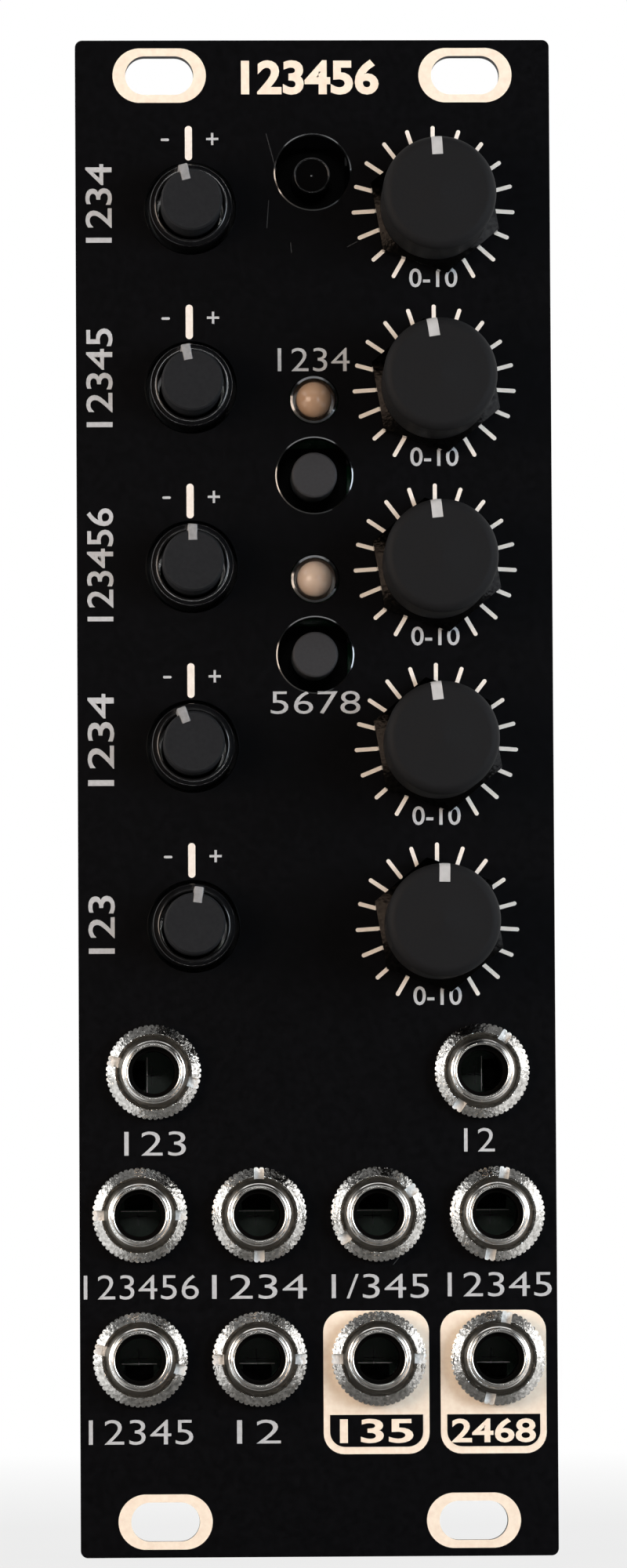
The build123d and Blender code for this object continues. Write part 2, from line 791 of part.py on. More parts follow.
with BuildPart() as jack_nut_blank:
    with BuildSketch(Plane.XZ):
        section(
            (jack_thread_r + thread_gap, panel_t),
            (jack_nut_r, panel_t),
            (jack_nut_r, panel_t + jack_nut_rim_h),
            (jack_nut_face_r, jack_nut_top),
            (jack_thread_r + jack_nut_chamfer, jack_nut_top),
            (jack_thread_r + thread_gap, jack_nut_top - jack_nut_chamfer),
        )
    revolve(axis=Axis.Z)
    with BuildSketch(Plane.XY.offset(panel_t)):
        with PolarLocations(jack_nut_r, jack_nut_teeth):
            RegularPolygon(jack_nut_tooth_depth, 4)
    extrude(amount=jack_nut_t, mode=Mode.SUBTRACT)
    with BuildSketch(Plane.XY.offset(jack_nut_top)):
        Rectangle(2 * jack_nut_r + overrun, jack_nut_slot_w)
    extrude(amount=-jack_nut_slot_depth, mode=Mode.SUBTRACT)
with BuildPart() as jack_nuts:
    with Locations(*[seat(x, z, turn) for (x, z, _), turn in zip(jack_places, jack_nut_turns)]):
        add(jack_nut_blank.part)
save(jack_nuts.part, "jack_nuts")

with BuildPart() as jack_housing_blank:
    housing_l = jack_housing_long + jack_housing_short
    with BuildSketch(Plane.XY.offset(board_front)):
        with Locations((0, (jack_housing_long - jack_housing_short) / 2)):
            RectangleRounded(jack_housing_w, housing_l, jack_housing_corner_r)
        Circle(jack_cavity_r, mode=Mode.SUBTRACT)
    extrude(amount=jack_seat - board_front)
    with BuildSketch(Plane.XY.offset(jack_seat)):
        Circle(jack_spigot_r + thread_gap)
    extrude(amount=-jack_spigot_l - thread_gap, mode=Mode.SUBTRACT)
    with BuildSketch(Plane.XY.offset(board_front)):
        Rectangle(jack_pocket_w, jack_pocket_l, align=(Align.CENTER, Align.MIN))
    extrude(amount=jack_pocket_depth, mode=Mode.SUBTRACT)
with BuildPart() as jack_housings:
    with Locations(*jack_seats):
        add(jack_housing_blank.part)
save(jack_housings.part, "jack_housings")

jack_pin_end = board_rear - jack_pin_drop
spring_slope = math.atan2(spring_top - spring_apex, spring_pin_y - spring_apex_y)
spring_at_contact = spring_top - (spring_pin_y - contact_tip_y) * math.tan(spring_slope)
contact_tip = spring_at_contact - (spring_t + contact_gap) / math.cos(spring_slope)
contact_top = contact_tip - contact_bend_drop
with BuildPart() as spring_blank:
    with BuildSketch(Plane.YZ):
        with BuildLine():
            FilletPolyline(
                (spring_pin_y, board_front),
                (spring_pin_y, spring_top),
                (spring_apex_y, spring_apex),
                (spring_tail_y, spring_tail),
                radius=spring_bend_r,
            )
        trace(line_width=spring_t)
    extrude(amount=spring_w / 2, both=True)
    with BuildSketch(Plane.YZ):
        with BuildLine():
            Line((spring_pin_y, jack_pin_end), (spring_pin_y, board_front))
        trace(line_width=spring_t)
    extrude(amount=jack_pin_w / 2, both=True)
with BuildPart() as jack_tip_springs:
    with Locations(*jack_seats):
        add(spring_blank.part)
save(jack_tip_springs.part, "jack_tip_springs")

with BuildPart() as contact_blank:
    with BuildSketch(Plane.YZ):
        with BuildLine():
            foot, bend = (contact_pin_y, jack_pin_end), (contact_pin_y, contact_top)
            Polyline(foot, bend, (contact_tip_y, contact_tip))
        trace(line_width=spring_t)
    extrude(amount=jack_pin_w / 2, both=True)
with BuildPart() as jack_switch_contacts:
    with Locations(*jack_seats):
        add(contact_blank.part)
save(jack_switch_contacts.part, "jack_switch_contacts")

with BuildPart() as tab_blank:
    with BuildSketch(Plane.XY.offset(board_front)):
        with Locations((0, jack_tab_y)):
            Rectangle(jack_tab_w, jack_tab_t)
    extrude(amount=-board_front)
    with BuildSketch(Plane.XY.offset(jack_pin_end)):
        with Locations((0, jack_tab_y)):
            Rectangle(jack_pin_w, jack_tab_t)
    extrude(amount=board_front - jack_pin_end)
with BuildPart() as jack_ground_tabs:
    with Locations(*jack_seats):
        add(tab_blank.part)
save(jack_ground_tabs.part, "jack_ground_tabs")

# Main board
main_h = main_board_top_z - main_board_bottom_z
main_middle_z = (main_board_top_z + main_board_bottom_z) / 2
with BuildPart() as main_board:
    with BuildSketch(facing(main_rear)):
        with Locations((0, main_middle_z)):
            RectangleRounded(main_board_w, main_h, board_corner_r)
        with Locations(*header_places):
            with GridLocations(pin_spacing, pin_spacing, socket_columns, socket_rows):
                Circle(lead_hole_r, mode=Mode.SUBTRACT)
        with Locations((0, power_z)):
            with GridLocations(pin_spacing, pin_spacing, power_columns, power_rows):
                Circle(lead_hole_r, mode=Mode.SUBTRACT)
        with Locations(*spacer_places):
            Circle(screw_r + solder_gap, mode=Mode.SUBTRACT)
    extrude(amount=board_t)
save(main_board.part, "main_board")

# Sockets on the control board, pin strips on the main board, and all their pins
with BuildPart() as board_sockets:
    with BuildSketch(facing(board_rear)):
        with Locations(*header_places):
            Rectangle(socket_w, socket_l)
    extrude(amount=-socket_h)
    with BuildSketch(facing(board_rear - socket_h)):
        with Locations(*header_places):
            with GridLocations(pin_spacing, pin_spacing, socket_columns, socket_rows):
                Rectangle(pin_w + 2 * running_gap, pin_w + 2 * running_gap)
    extrude(amount=socket_hole_depth, mode=Mode.SUBTRACT)
save(board_sockets.part, "board_sockets")

with BuildPart() as header_strips:
    with BuildSketch(facing(main_front)):
        with Locations(*header_places):
            Rectangle(socket_w, socket_l)
            with GridLocations(pin_spacing, pin_spacing, socket_columns, socket_rows):
                Rectangle(pin_w, pin_w, mode=Mode.SUBTRACT)
    extrude(amount=strip_h)
save(header_strips.part, "header_strips")

with BuildPart() as connector_pins:
    with BuildSketch(facing(main_rear - pin_tail)):
        with Locations(*header_places):
            with GridLocations(pin_spacing, pin_spacing, socket_columns, socket_rows):
                Rectangle(pin_w, pin_w)
    extrude(amount=pin_tail + board_t + strip_h + pin_reach)
    with BuildSketch(facing(board_rear)):
        with Locations(*header_places):
            with GridLocations(pin_spacing, pin_spacing, socket_columns, socket_rows):
                Rectangle(pin_w, pin_w)
    extrude(amount=board_t + pin_tail)
    with BuildSketch(facing(main_front + pin_tail)):
        with Locations((0, power_z)):
            with GridLocations(pin_spacing, pin_spacing, power_columns, power_rows):
                Rectangle(pin_w, pin_w)
    extrude(amount=-pin_tail - board_t - power_floor - power_pin_l)
save(connector_pins.part, "connector_pins")

# Hex spacers between the boards, each with a screw from either side
with BuildPart() as board_spacers:
    with BuildSketch(facing(board_rear)):
        with Locations(*spacer_places):
            RegularPolygon(spacer_across / 2, 6, major_radius=False, rotation=30)
            Circle(screw_r, mode=Mode.SUBTRACT)
    extrude(amount=-spacer_l)
save(board_spacers.part, "board_spacers")

with BuildPart() as screw_blank:
    with BuildSketch(Plane.XY):
        Circle(screw_head_r)
    extrude(amount=screw_head_t)
    fillet(faces().sort_by(Axis.Z)[-1].edges(), screw_head_t / 2)
    with BuildSketch(Plane.XY):
        Circle(screw_r - thread_gap)
    extrude(amount=-screw_length)
    with BuildSketch(Plane.XY.offset(screw_head_t)):
        Rectangle(screw_recess_l, screw_recess_w)
        Rectangle(screw_recess_w, screw_recess_l)
    extrude(amount=-screw_recess_depth, mode=Mode.SUBTRACT)

with BuildPart() as board_screws:
    for x, z in spacer_places:
        with Locations(seat(x, z, height=board_front)):
            add(screw_blank.part)
        with Locations(Plane(origin=(x, -main_rear, z), x_dir=(1, 0, 0), z_dir=(0, 1, 0))):
            add(screw_blank.part)
save(board_screws.part, "board_screws")

# Power header: a keyed shroud on the main board's rear
with BuildPart() as power_header:
    with BuildSketch(facing(main_rear)):
        with Locations((0, power_z)):
            Rectangle(power_w, power_l)
    extrude(amount=-power_h)
    with BuildSketch(facing(main_rear - power_h)):
        with Locations((0, power_z)):
            Rectangle(power_w - 2 * power_wall, power_l - 2 * power_wall)
            with Locations((0, -power_l / 2)):
                Rectangle(power_key_w, 2 * power_wall)
    extrude(amount=power_h - power_floor, mode=Mode.SUBTRACT)
    with BuildSketch(facing(main_rear)):
        with Locations((0, power_z)):
            with GridLocations(pin_spacing, pin_spacing, power_columns, power_rows):
                Rectangle(pin_w, pin_w)
    extrude(amount=-power_floor, mode=Mode.SUBTRACT)
save(power_header.part, "power_header")


def main_board_places(place_shares):
    """Places on the main board, from shares of its width and height."""
    return [(share_x * main_board_w, main_middle_z + share_z * main_h) for share_x, share_z in place_shares]


# Chips on the main board's rear, each with a round mark at its first pin
chip_sizes = (
    (processor_place_shares, processor_w, processor_w, processor_t),
    (codec_place_shares, codec_w, codec_w, codec_t),
    (amplifier_place_shares, amplifier_w, amplifier_l, amplifier_t),
    (regulator_place_shares, regulator_w, regulator_l, regulator_t),
)
with BuildPart() as chips:
    for place_shares, chip_w, chip_l, chip_t in chip_sizes:
        with BuildSketch(facing(main_rear)):
            with Locations(*main_board_places(place_shares)):
                Rectangle(chip_w, chip_l)
        extrude(amount=-chip_t)
        chamfer(faces(Select.LAST).sort_by(Axis.Y).group_by(Axis.Y)[-1].edges(), chip_edge)
    for place_shares, chip_w, chip_l, chip_t in chip_sizes:
        corner = (-chip_w / 2 + 2 * chip_mark_r, chip_l / 2 - 2 * chip_mark_r)
        with BuildSketch(facing(main_rear - chip_t)):
            with Locations(*main_board_places(place_shares)):
                with Locations(corner):
                    Circle(chip_mark_r)
        extrude(amount=chip_mark_depth, mode=Mode.SUBTRACT)
save(chips.part, "chips")

# Round can capacitors on square feet, and a field of small ceramic pieces
with BuildPart() as board_parts:
    with BuildSketch(facing(main_rear)):
        with Locations(*main_board_places(can_place_shares)):
            Rectangle(can_foot_w, can_foot_w)
    extrude(amount=-can_foot_t)
    with BuildSketch(facing(main_rear - can_foot_t)):
        with Locations(*main_board_places(can_place_shares)):
            Circle(can_r)
    extrude(amount=-can_h + can_foot_t)
    with BuildSketch(facing(main_rear)):
        with Locations((0, main_board_bottom_z + passive_spacing_share * main_h)):
            with GridLocations(
                2 * passive_spacing_share * main_board_w,
                passive_spacing_share * main_h / 2,
                passive_columns,
                passive_rows,
            ):
                Rectangle(passive_l, passive_w)
    extrude(amount=-passive_t)
save(board_parts.part, "board_parts")
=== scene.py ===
import json
import math

import bmesh
import bpy
from mathutils import Matrix, Vector


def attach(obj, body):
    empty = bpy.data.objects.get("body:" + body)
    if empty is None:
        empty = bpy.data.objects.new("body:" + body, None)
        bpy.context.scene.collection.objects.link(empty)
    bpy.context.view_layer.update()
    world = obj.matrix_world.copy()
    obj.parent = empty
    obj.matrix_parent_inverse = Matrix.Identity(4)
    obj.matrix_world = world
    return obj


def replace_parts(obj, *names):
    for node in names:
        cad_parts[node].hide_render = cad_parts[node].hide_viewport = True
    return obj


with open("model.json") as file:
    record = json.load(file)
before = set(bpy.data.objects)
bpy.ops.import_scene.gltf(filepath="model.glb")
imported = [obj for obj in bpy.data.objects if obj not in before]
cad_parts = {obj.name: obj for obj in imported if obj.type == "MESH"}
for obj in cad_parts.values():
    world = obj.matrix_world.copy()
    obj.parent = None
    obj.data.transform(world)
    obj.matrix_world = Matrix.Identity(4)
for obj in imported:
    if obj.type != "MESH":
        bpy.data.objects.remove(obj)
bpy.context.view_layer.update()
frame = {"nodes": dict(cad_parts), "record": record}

# Sizes are in millimetres. Heights are counted from the front panel's rear face towards the viewer.
MM = 0.001
PANEL_TOP = 1.6
PANEL_FOOT_Z = -64.25    # the panel's lower edge, which stands on the floor
INK = 0.03               # thickness of a printed or opened mark
THIN_INK = 0.02          # thickness of the ink on the boards behind
ROW_PITCH = 15.24
ROWS = [49.9 - ROW_PITCH * row for row in range(5)]
KNOB_X = 10.3
TRIMMER_X = -10.4
LIGHTS = [(0, 33.6), (0, 33.6 - ROW_PITCH)]
BUTTONS = [(0, 27.15), (0, 27.15 - ROW_PITCH)]
RECESSED = (0, 53.0)
JACK_PITCH = 10.05
LOWER_JACK_Z = -47.6
# Places of the jacks, and the turn of each housing
JACKS = [(-13.87, -23.4, -90), (13.87, -23.4, 90)]
JACKS += [(JACK_PITCH * step, -35.45, 0) for step in (-1.5, -0.5, 0.5, 1.5)]
JACKS += [(JACK_PITCH * step, LOWER_JACK_Z, 180) for step in (-1.5, -0.5, 0.5, 1.5)]
BOARD_FRONT = -10        # height of the control board's front


# Colours and materials

def linear(code):
    """The linear colour of an sRGB hex code."""
    parts = [int(code[i:i + 2], 16) / 255 for i in (1, 3, 5)]
    return [p / 12.92 if p <= 0.04045 else ((p + 0.055) / 1.055) ** 2.4 for p in parts] + [1.0]


def add(tree, kind, inputs=None, **settings):
    """Adds a shader node, sets its options, and gives each input a value or another node's output."""
    made = tree.nodes.new(kind)
    for name, value in settings.items():
        setattr(made, name, value)
    for key, value in (inputs or {}).items():
        if isinstance(value, bpy.types.NodeSocket):
            tree.links.new(value, made.inputs[key])
        else:
            made.inputs[key].default_value = value
    return made


def material(name, **sockets):
    """A new material with a Principled shader, its constant sockets set by name."""
    made = bpy.data.materials.new(name)
    made.use_nodes = True
    shader = made.node_tree.nodes["Principled BSDF"]
    for socket, value in sockets.items():
        shader.inputs[socket.replace("_", " ")].default_value = value
    return made, made.node_tree, shader


def mottled(name, dark, pale, grain, bump=0.0, rough=(0.4, 0.5), detail=3.0, **sockets):
    """A finish whose colour and roughness wander between two values, over grains of a real size in mm."""
    made, tree, shader = material(name, **sockets)
    place = add(tree, "ShaderNodeTexCoord").outputs["Object"]
    noise = add(tree, "ShaderNodeTexNoise", {"Vector": place, "Scale": 1 / (grain * MM), "Detail": detail})
    grey = noise.outputs["Fac"]
    low, high = 0.3, 0.7
    ramp = add(tree, "ShaderNodeValToRGB", {"Fac": grey})
    for end, position, colour in zip(ramp.color_ramp.elements, (low, high), (dark, pale)):
        end.position = position
        end.color = linear(colour)
    gloss = add(tree, "ShaderNodeMapRange", {"Value": grey, "From Min": low, "From Max": high,
                                             "To Min": rough[0], "To Max": rough[1]})
    tree.links.new(ramp.outputs["Color"], shader.inputs["Base Color"])
    tree.links.new(gloss.outputs["Result"], shader.inputs["Roughness"])
    if bump:
        relief = add(tree, "ShaderNodeBump", {"Height": grey, "Strength": 1.0, "Distance": bump * MM})
        tree.links.new(relief.outputs["Normal"], shader.inputs["Normal"])
    return made


def overlay(finish, mask, colour, rough=None):
    """Lays a second colour, and a second roughness where given, over a finish where a mask is 1."""
    tree = finish.node_tree
    shader = tree.nodes["Principled BSDF"]
    for socket, kind, ends, value in (("Base Color", "RGBA", (6, 7, 2), linear(colour)),
                                      ("Roughness", "FLOAT", (2, 3, 0), rough)):
        if value is not None:
            under = shader.inputs[socket].links[0].from_socket
            mix = add(tree, "ShaderNodeMix", {0: mask, ends[0]: under, ends[1]: value}, data_type=kind)
            tree.links.new(mix.outputs[ends[2]], shader.inputs[socket])


def specks(finish, cell, size, share):
    """A mask of grains of one size, one in each cell of a share of the cells, all in mm."""
    tree = finish.node_tree
    place = add(tree, "ShaderNodeTexCoord").outputs["Object"]
    cells = add(tree, "ShaderNodeTexVoronoi", {"Vector": place, "Scale": 1 / (cell * MM)}).outputs
    chosen = add(tree, "ShaderNodeMath", {0: cells["Color"], 1: 1 - share}, operation="GREATER_THAN")
    within = add(tree, "ShaderNodeMath", {0: cells["Distance"], 1: size / cell}, operation="LESS_THAN")
    return add(tree, "ShaderNodeMath", {0: within.outputs[0], 1: chosen.outputs[0]},
               operation="MULTIPLY").outputs[0]


def cut_sides(finish):
    """A mask of the faces that look sideways: a board's sawn edges and the walls of its holes."""
    tree = finish.node_tree
    normal = add(tree, "ShaderNodeTexCoord").outputs["Normal"]
    facing = add(tree, "ShaderNodeSeparateXYZ", {0: normal}).outputs["Y"]
    straight = add(tree, "ShaderNodeMath", {0: facing}, operation="ABSOLUTE").outputs[0]
    return add(tree, "ShaderNodeMath", {0: straight, 1: 0.5}, operation="LESS_THAN").outputs[0]


def band(finish, axis, low, high):
    """A mask of what lies between two places along an axis of the object, in mm."""
    tree = finish.node_tree
    place = add(tree, "ShaderNodeTexCoord").outputs["Object"]
    along = add(tree, "ShaderNodeSeparateXYZ", {0: place}).outputs[axis]
    above = add(tree, "ShaderNodeMath", {0: along, 1: low * MM}, operation="GREATER_THAN").outputs[0]
    below = add(tree, "ShaderNodeMath", {0: along, 1: high * MM}, operation="LESS_THAN").outputs[0]
    return add(tree, "ShaderNodeMath", {0: above, 1: below}, operation="MULTIPLY").outputs[0]


# A screen-printed black mask, matt, its edges routed bare; a few grains of dust are drawn coarser than real
black_mask = mottled("black_solder_mask_on_glass_fibre", "#040405", "#070709", 0.6, 0.002, (0.36, 0.44),
                     Specular_IOR_Level=0.05)
overlay(black_mask, cut_sides(black_mask), "#17181b", 0.5)
overlay(black_mask, specks(black_mask, 2.6, 0.07, 0.16), "#4c4c4c", 0.8)
# The same mask where something has rubbed it: greyer and duller
worn_mask = mottled("rubbed_black_solder_mask", "#101012", "#1b1b1d", 0.3, 0.001, (0.5, 0.7))
# A glossy green mask over copper, cloudy where the copper shows through, its sawn edges straw-coloured
green_mask = mottled("green_solder_mask_on_glass_fibre", "#0c4f2c", "#126338", 1.6, 0.004, (0.2, 0.3))
overlay(green_mask, cut_sides(green_mask), "#8c8152", 0.7)
# Laminate with no mask on it: cream, its glass cloth of 0.45 mm threads faintly showing
bare_laminate = mottled("bare_glass_fibre_laminate", "#f3e0cb", "#fbecd8", 0.45, 0.003, (0.45, 0.6))
# Thick screened ink: off-white, matt, its edge a little soft
white_ink = mottled("white_silkscreen_ink", "#b2b3b5", "#bfc1c3", 0.25, 0.002, (0.55, 0.7))
# Solder-levelled marks, a warm off-white skin with a dull sheen
cream_ticks = mottled("levelled_tin_marks", "#eee4d8", "#f6eee4", 0.3, 0.002, (0.45, 0.6))
# Soft-touch lacquer: a fine velvety grain of 0.12 mm that takes the shine off, with a few grains of dust
soft_touch = mottled("soft_touch_lacquer_on_abs", "#171718", "#1b1b1c", 0.12, 0.003, (0.5, 0.62),
                     Specular_IOR_Level=0.08)
overlay(soft_touch, specks(soft_touch, 2.2, 0.06, 0.12), "#5a5a5a", 0.8)
# Moulded white plastic, flush in the knob, evenly satin
white_pointer = mottled("moulded_white_abs", "#b0afae", "#bbbab9", 0.8, 0.001, (0.4, 0.5))
# The small shafts' inlays are rougher and greyer: ink rubbed into a groove
grey_inlay = mottled("grey_ink_in_a_groove", "#7e7e7f", "#919192", 0.3, 0.002, (0.5, 0.65))
# Moulded grey nylon, its end face faintly grained
grey_shaft = mottled("moulded_grey_nylon", "#1b1c1e", "#202123", 0.3, 0.003, (0.45, 0.6),
                     Specular_IOR_Level=0.1)
# Eroded mould texture of 0.25 mm on the button caps, dull
grey_cap = mottled("moulded_grey_abs", "#303032", "#363638", 0.25, 0.004, (0.5, 0.65),
                   Specular_IOR_Level=0.15)
# Moulded black nylon, slightly shiny
black_nylon = mottled("moulded_black_nylon", "#050506", "#09090a", 0.3, 0.001, (0.3, 0.4),
                      Specular_IOR_Level=0.2)
# Painted shade: the plunger deep in the recessed hole is given a black darker than its nylon, for the shade
# there, as hardly any light comes back
plunger_painted_shade = mottled("black_nylon_painted_shade", "#020203", "#050506", 0.3, 0.001, (0.5, 0.6),
                     Specular_IOR_Level=0.04)
# Black nylon where turning has polished it: shiny, so the lamps draw thin bright lines on it
polished_nylon = mottled("polished_black_nylon", "#0b0b0c", "#111113", 0.3, 0.001, (0.08, 0.14),
                         Specular_IOR_Level=0.6)
# Bright nickel over knurled brass: tumbled, so small dents of 0.3 mm break up the shine. On the floors of
# the slots it is dull from machining and painted paler: a painted highlight for the light they catch
nickel = mottled("bright_nickel_on_knurled_brass", "#a3a19d", "#eae8e4", 0.32, 0.075, (0.05, 0.14), 2.0,
                 Metallic=1.0)
# Painted highlight: the slot floors are paler than the nickel round them, and rougher
overlay(nickel, band(nickel, "Y", -2.68, -2.52), "#f2f1ee", 0.6)
# Bright nickel over turned brass: smoother, with soft cloudy marks. Inside the bores it is painted nearly
# black, and a dull dark grey on the chamfers round the jacks' fronts: painted shade for the dark of the
# bores
turned_brass = mottled("bright_nickel_on_turned_brass", "#d8d6d2", "#eae8e5", 0.5, 0.002, (0.12, 0.2),
                       Metallic=1.0)
# Painted shade: nearly black deep in the bores, a darker grey at their mouths
overlay(turned_brass, band(turned_brass, "Y", -3.3, 1.0), "#141312", 0.4)
overlay(turned_brass, band(turned_brass, "Y", -3.64, -3.3), "#5f5b55", 0.3)
# Plain nickel on the screws and spacers: satin, so its shine is spread
satin_nickel = mottled("satin_nickel_on_steel", "#a9a7a2", "#bfbdb8", 0.5, 0.002, (0.3, 0.42), Metallic=1.0)
# The rolled lips: the same bright plating without the machining marks
rolled_nickel = mottled("bright_nickel_on_rolled_brass", "#c6c4c0", "#dcdad6", 0.4, 0.002, (0.1, 0.18),
                        Metallic=1.0)
# Tin on the rims of the plated holes: thin and smooth, so it flashes white where it faces a lamp
plated_rim = mottled("levelled_tin_on_plated_holes", "#5c5d5e", "#6c6d6e", 0.4, 0.002, (0.08, 0.14),
                     Metallic=1.0)
# Black nickel on the hex nuts: dark and mirror-like, so they take the colours round them
black_nickel = mottled("black_nickel_on_steel", "#0b0a0a", "#151413", 0.3, 0.02, (0.08, 0.16), Metallic=1.0)
# Pale satin metal on the contact springs' edges: a painted highlight, paler than the springs, for the line
# of light on their bends
spring_edge_highlight = mottled("phosphor_bronze_painted_highlight", "#cfcdc8", "#e4e2de", 0.3, 0.001, (0.3, 0.4),
                         Metallic=1.0)
# Tinned sheet: pale, with the cloudy spangle that sheet has
tinned_steel = mottled("tinned_steel_sheet", "#9c9c9c", "#b9b9b9", 0.8, 0.004, (0.25, 0.4), Metallic=1.0)
# Blackened covers of the button switches: dark, with a low sheen
burnished_steel = mottled("burnished_steel_cover", "#0c0c0c", "#141414", 0.5, 0.002, (0.35, 0.45),
                          Metallic=1.0)
# Solder: bright, rounded and a little cloudy
solder = mottled("reflowed_solder", "#b5b6b8", "#cbccce", 0.4, 0.003, (0.16, 0.3), Metallic=1.0)
# Gold flash on pins: warm and bright
gold_pin = mottled("gold_flash_on_bronze", "#c9a24e", "#dcb765", 0.5, 0.002, (0.2, 0.3), Metallic=1.0)
# Paper laminate under the potentiometers: brown and fibrous
phenolic = mottled("punched_phenolic_laminate", "#4a2c17", "#5c3a20", 0.4, 0.003, (0.5, 0.65))
# Resistor ink: soot black and matt
carbon = mottled("printed_carbon", "#141414", "#1c1c1c", 0.2, 0.002, (0.6, 0.75))
# Chips: black with the fine sandy grain of a spark-eroded mould
chip_epoxy = mottled("moulded_chip_epoxy", "#141415", "#1b1b1c", 0.15, 0.003, (0.5, 0.65))
# Drawn aluminium: satin, a little streaky
drawn_can = mottled("drawn_aluminium_can", "#b3b3b5", "#c4c4c6", 0.5, 0.002, (0.28, 0.38), Metallic=1.0)
# Small capacitors: tan, like biscuit
ceramic = mottled("fired_ceramic", "#8a6a4a", "#a07f5c", 0.2, 0.002, (0.4, 0.5))
# Tracks under the mask: a lighter green than the board round them
copper_trace = mottled("green_mask_over_copper", "#187044", "#1f8050", 0.8, 0.002, (0.2, 0.3))
# Milky epoxy, unlit: peach and smooth, the upper light a shade darker than the lower one
milky_lens = mottled("milky_diffused_epoxy", "#ceb4a0", "#d8c2af", 1.6, 0.0, (0.16, 0.22))
overlay(milky_lens, band(milky_lens, "Z", 26, 64), "#b8967a")

FINISHES = {
    "black_panel": black_mask, "green_board": green_mask, "soft_touch": soft_touch,
    "white_pointer": white_pointer, "grey_shaft": grey_shaft, "black_plastic": black_nylon,
    "grey_cap": grey_cap, "milky_lens": milky_lens, "nickel": nickel, "steel": tinned_steel,
    "gold_pin": gold_pin, "phenolic": phenolic, "carbon": carbon, "brass_thread": turned_brass,
    "chip_epoxy": chip_epoxy, "can_metal": drawn_can,
}
OTHER_FINISHES = {
    "pot_nuts": black_nickel, "switch_covers": burnished_steel, "recessed_button_plunger": plunger_painted_shade,
    "board_screws": satin_nickel, "board_spacers": satin_nickel,
}
OTHER_FINISHES.update({f"trimmer_{number}_pointer": grey_inlay for number in range(1, 6)})
node_slots = {row["node"]: row["material_slot"] for row in frame["record"]["subparts"]}
for name, piece in frame["nodes"].items():
    piece.data.materials.clear()
    piece.data.materials.append(OTHER_FINISHES.get(name) or FINISHES[node_slots[name]])


# Modelling by hand. A piece is drawn on the panel's plane, X to the right, Y up the panel and Z towards the
# viewer, and is stood up when it is done.

def select_only(*pieces):
    """Selects these pieces and nothing else, the first one active."""
    bpy.ops.object.select_all(action="DESELECT")
    for piece in pieces:
        piece.select_set(True)
    bpy.context.view_layer.objects.active = pieces[0]


def begin(name, shape, **settings):
    """Adds a primitive with nothing else selected and opens it for editing."""
    bpy.ops.object.select_all(action="DESELECT")
    getattr(bpy.ops.mesh, f"primitive_{shape}_add")(**settings)
    piece = bpy.context.object
    piece.name = piece.data.name = name
    bpy.ops.object.mode_set(mode="EDIT")
    return piece


def begin_sized(name, shape, size, middle, **settings):
    """Adds a plane or a cube at its middle, opens it for editing and brings it to its size, in mm."""
    place = tuple(part * MM for part in middle)
    piece = begin(name, shape, size=MM, location=place, **settings)
    bpy.ops.transform.resize(value=size, center_override=place)
    return piece


def pick(piece, kind, rule):
    """In edit mode, selects only the vertices, edges or faces that a rule chooses."""
    bpy.ops.mesh.select_mode(type={"verts": "VERT", "edges": "EDGE", "faces": "FACE"}[kind])
    bpy.ops.mesh.select_all(action="DESELECT")
    mesh = bmesh.from_edit_mesh(piece.data)
    for part in getattr(mesh, kind):
        if rule(part):
            part.select_set(True)
    mesh.select_flush_mode()
    bmesh.update_edit_mesh(piece.data)


def close(piece, sharp=30):
    """Cleans a piece, faces it outwards, and shades it smooth up to an angle."""
    bpy.ops.mesh.select_all(action="SELECT")
    bpy.ops.mesh.remove_doubles(threshold=1e-6)
    bpy.ops.mesh.normals_make_consistent(inside=False)
    bpy.ops.object.mode_set(mode="OBJECT")
    select_only(piece)
    bpy.ops.object.transform_apply(location=True, rotation=True, scale=True)
    bpy.ops.object.shade_smooth_by_angle(angle=math.radians(sharp))
    return piece


def lathe(name, profile, segments=96, sharp=30):
    """Turns a piece: a ring is drawn out and scaled along pairs of radius and height, in mm."""
    (radius, height), *others = profile
    piece = begin(name, "circle", vertices=segments, radius=radius * MM, location=(0, 0, height * MM))
    bpy.ops.mesh.select_all(action="SELECT")
    for next_radius, next_height in others:
        rise = (next_height - height) * MM
        bpy.ops.mesh.extrude_edges_move(TRANSFORM_OT_translate={"value": (0, 0, rise)})
        share = next_radius / radius
        bpy.ops.transform.resize(value=(share, share, 1), center_override=(0, 0, 0))
        radius, height = next_radius, next_height
    bpy.ops.mesh.select_all(action="SELECT")
    bpy.ops.mesh.remove_doubles(threshold=1e-6)
    bpy.ops.mesh.fill_holes(sides=0)
    return close(piece, sharp)


def thicken(piece, amount):
    """In edit mode, draws the flat drawing out towards the viewer."""
    bpy.ops.mesh.select_all(action="SELECT")
    bpy.ops.mesh.extrude_region_move(TRANSFORM_OT_translate={"value": (0, 0, amount * MM)})
    return close(piece)


def capsule(name, length, width, foot=0.0, height=PANEL_TOP, thickness=INK):
    """A stroke with round ends, standing on its foot and pointing up the panel."""
    sides = 16
    middle = foot + width / 2
    piece = begin(name, "circle", vertices=sides, radius=width / 2 * MM, fill_type="NGON",
                  location=(0, middle * MM, height * MM), rotation=(0, 0, math.pi / sides))
    pick(piece, "verts", lambda v: (piece.matrix_world @ v.co).y > middle * MM)
    bpy.ops.transform.translate(value=(0, (length - width) * MM, 0))
    return thicken(piece, thickness)


def repeat(piece, seats):
    """Copies a piece to seats of x, y and clockwise turn, and joins the copies in its place."""
    copies = []
    for x, y, turn in seats:
        copy = piece.copy()
        copy.data = piece.data.copy()
        bpy.context.collection.objects.link(copy)
        move = Matrix.Translation((x * MM, y * MM, 0))
        copy.matrix_world = move @ Matrix.Rotation(-math.radians(turn), 4, "Z")
        copies.append(copy)
    name = piece.name
    bpy.data.objects.remove(piece)
    return merge(name, *copies)


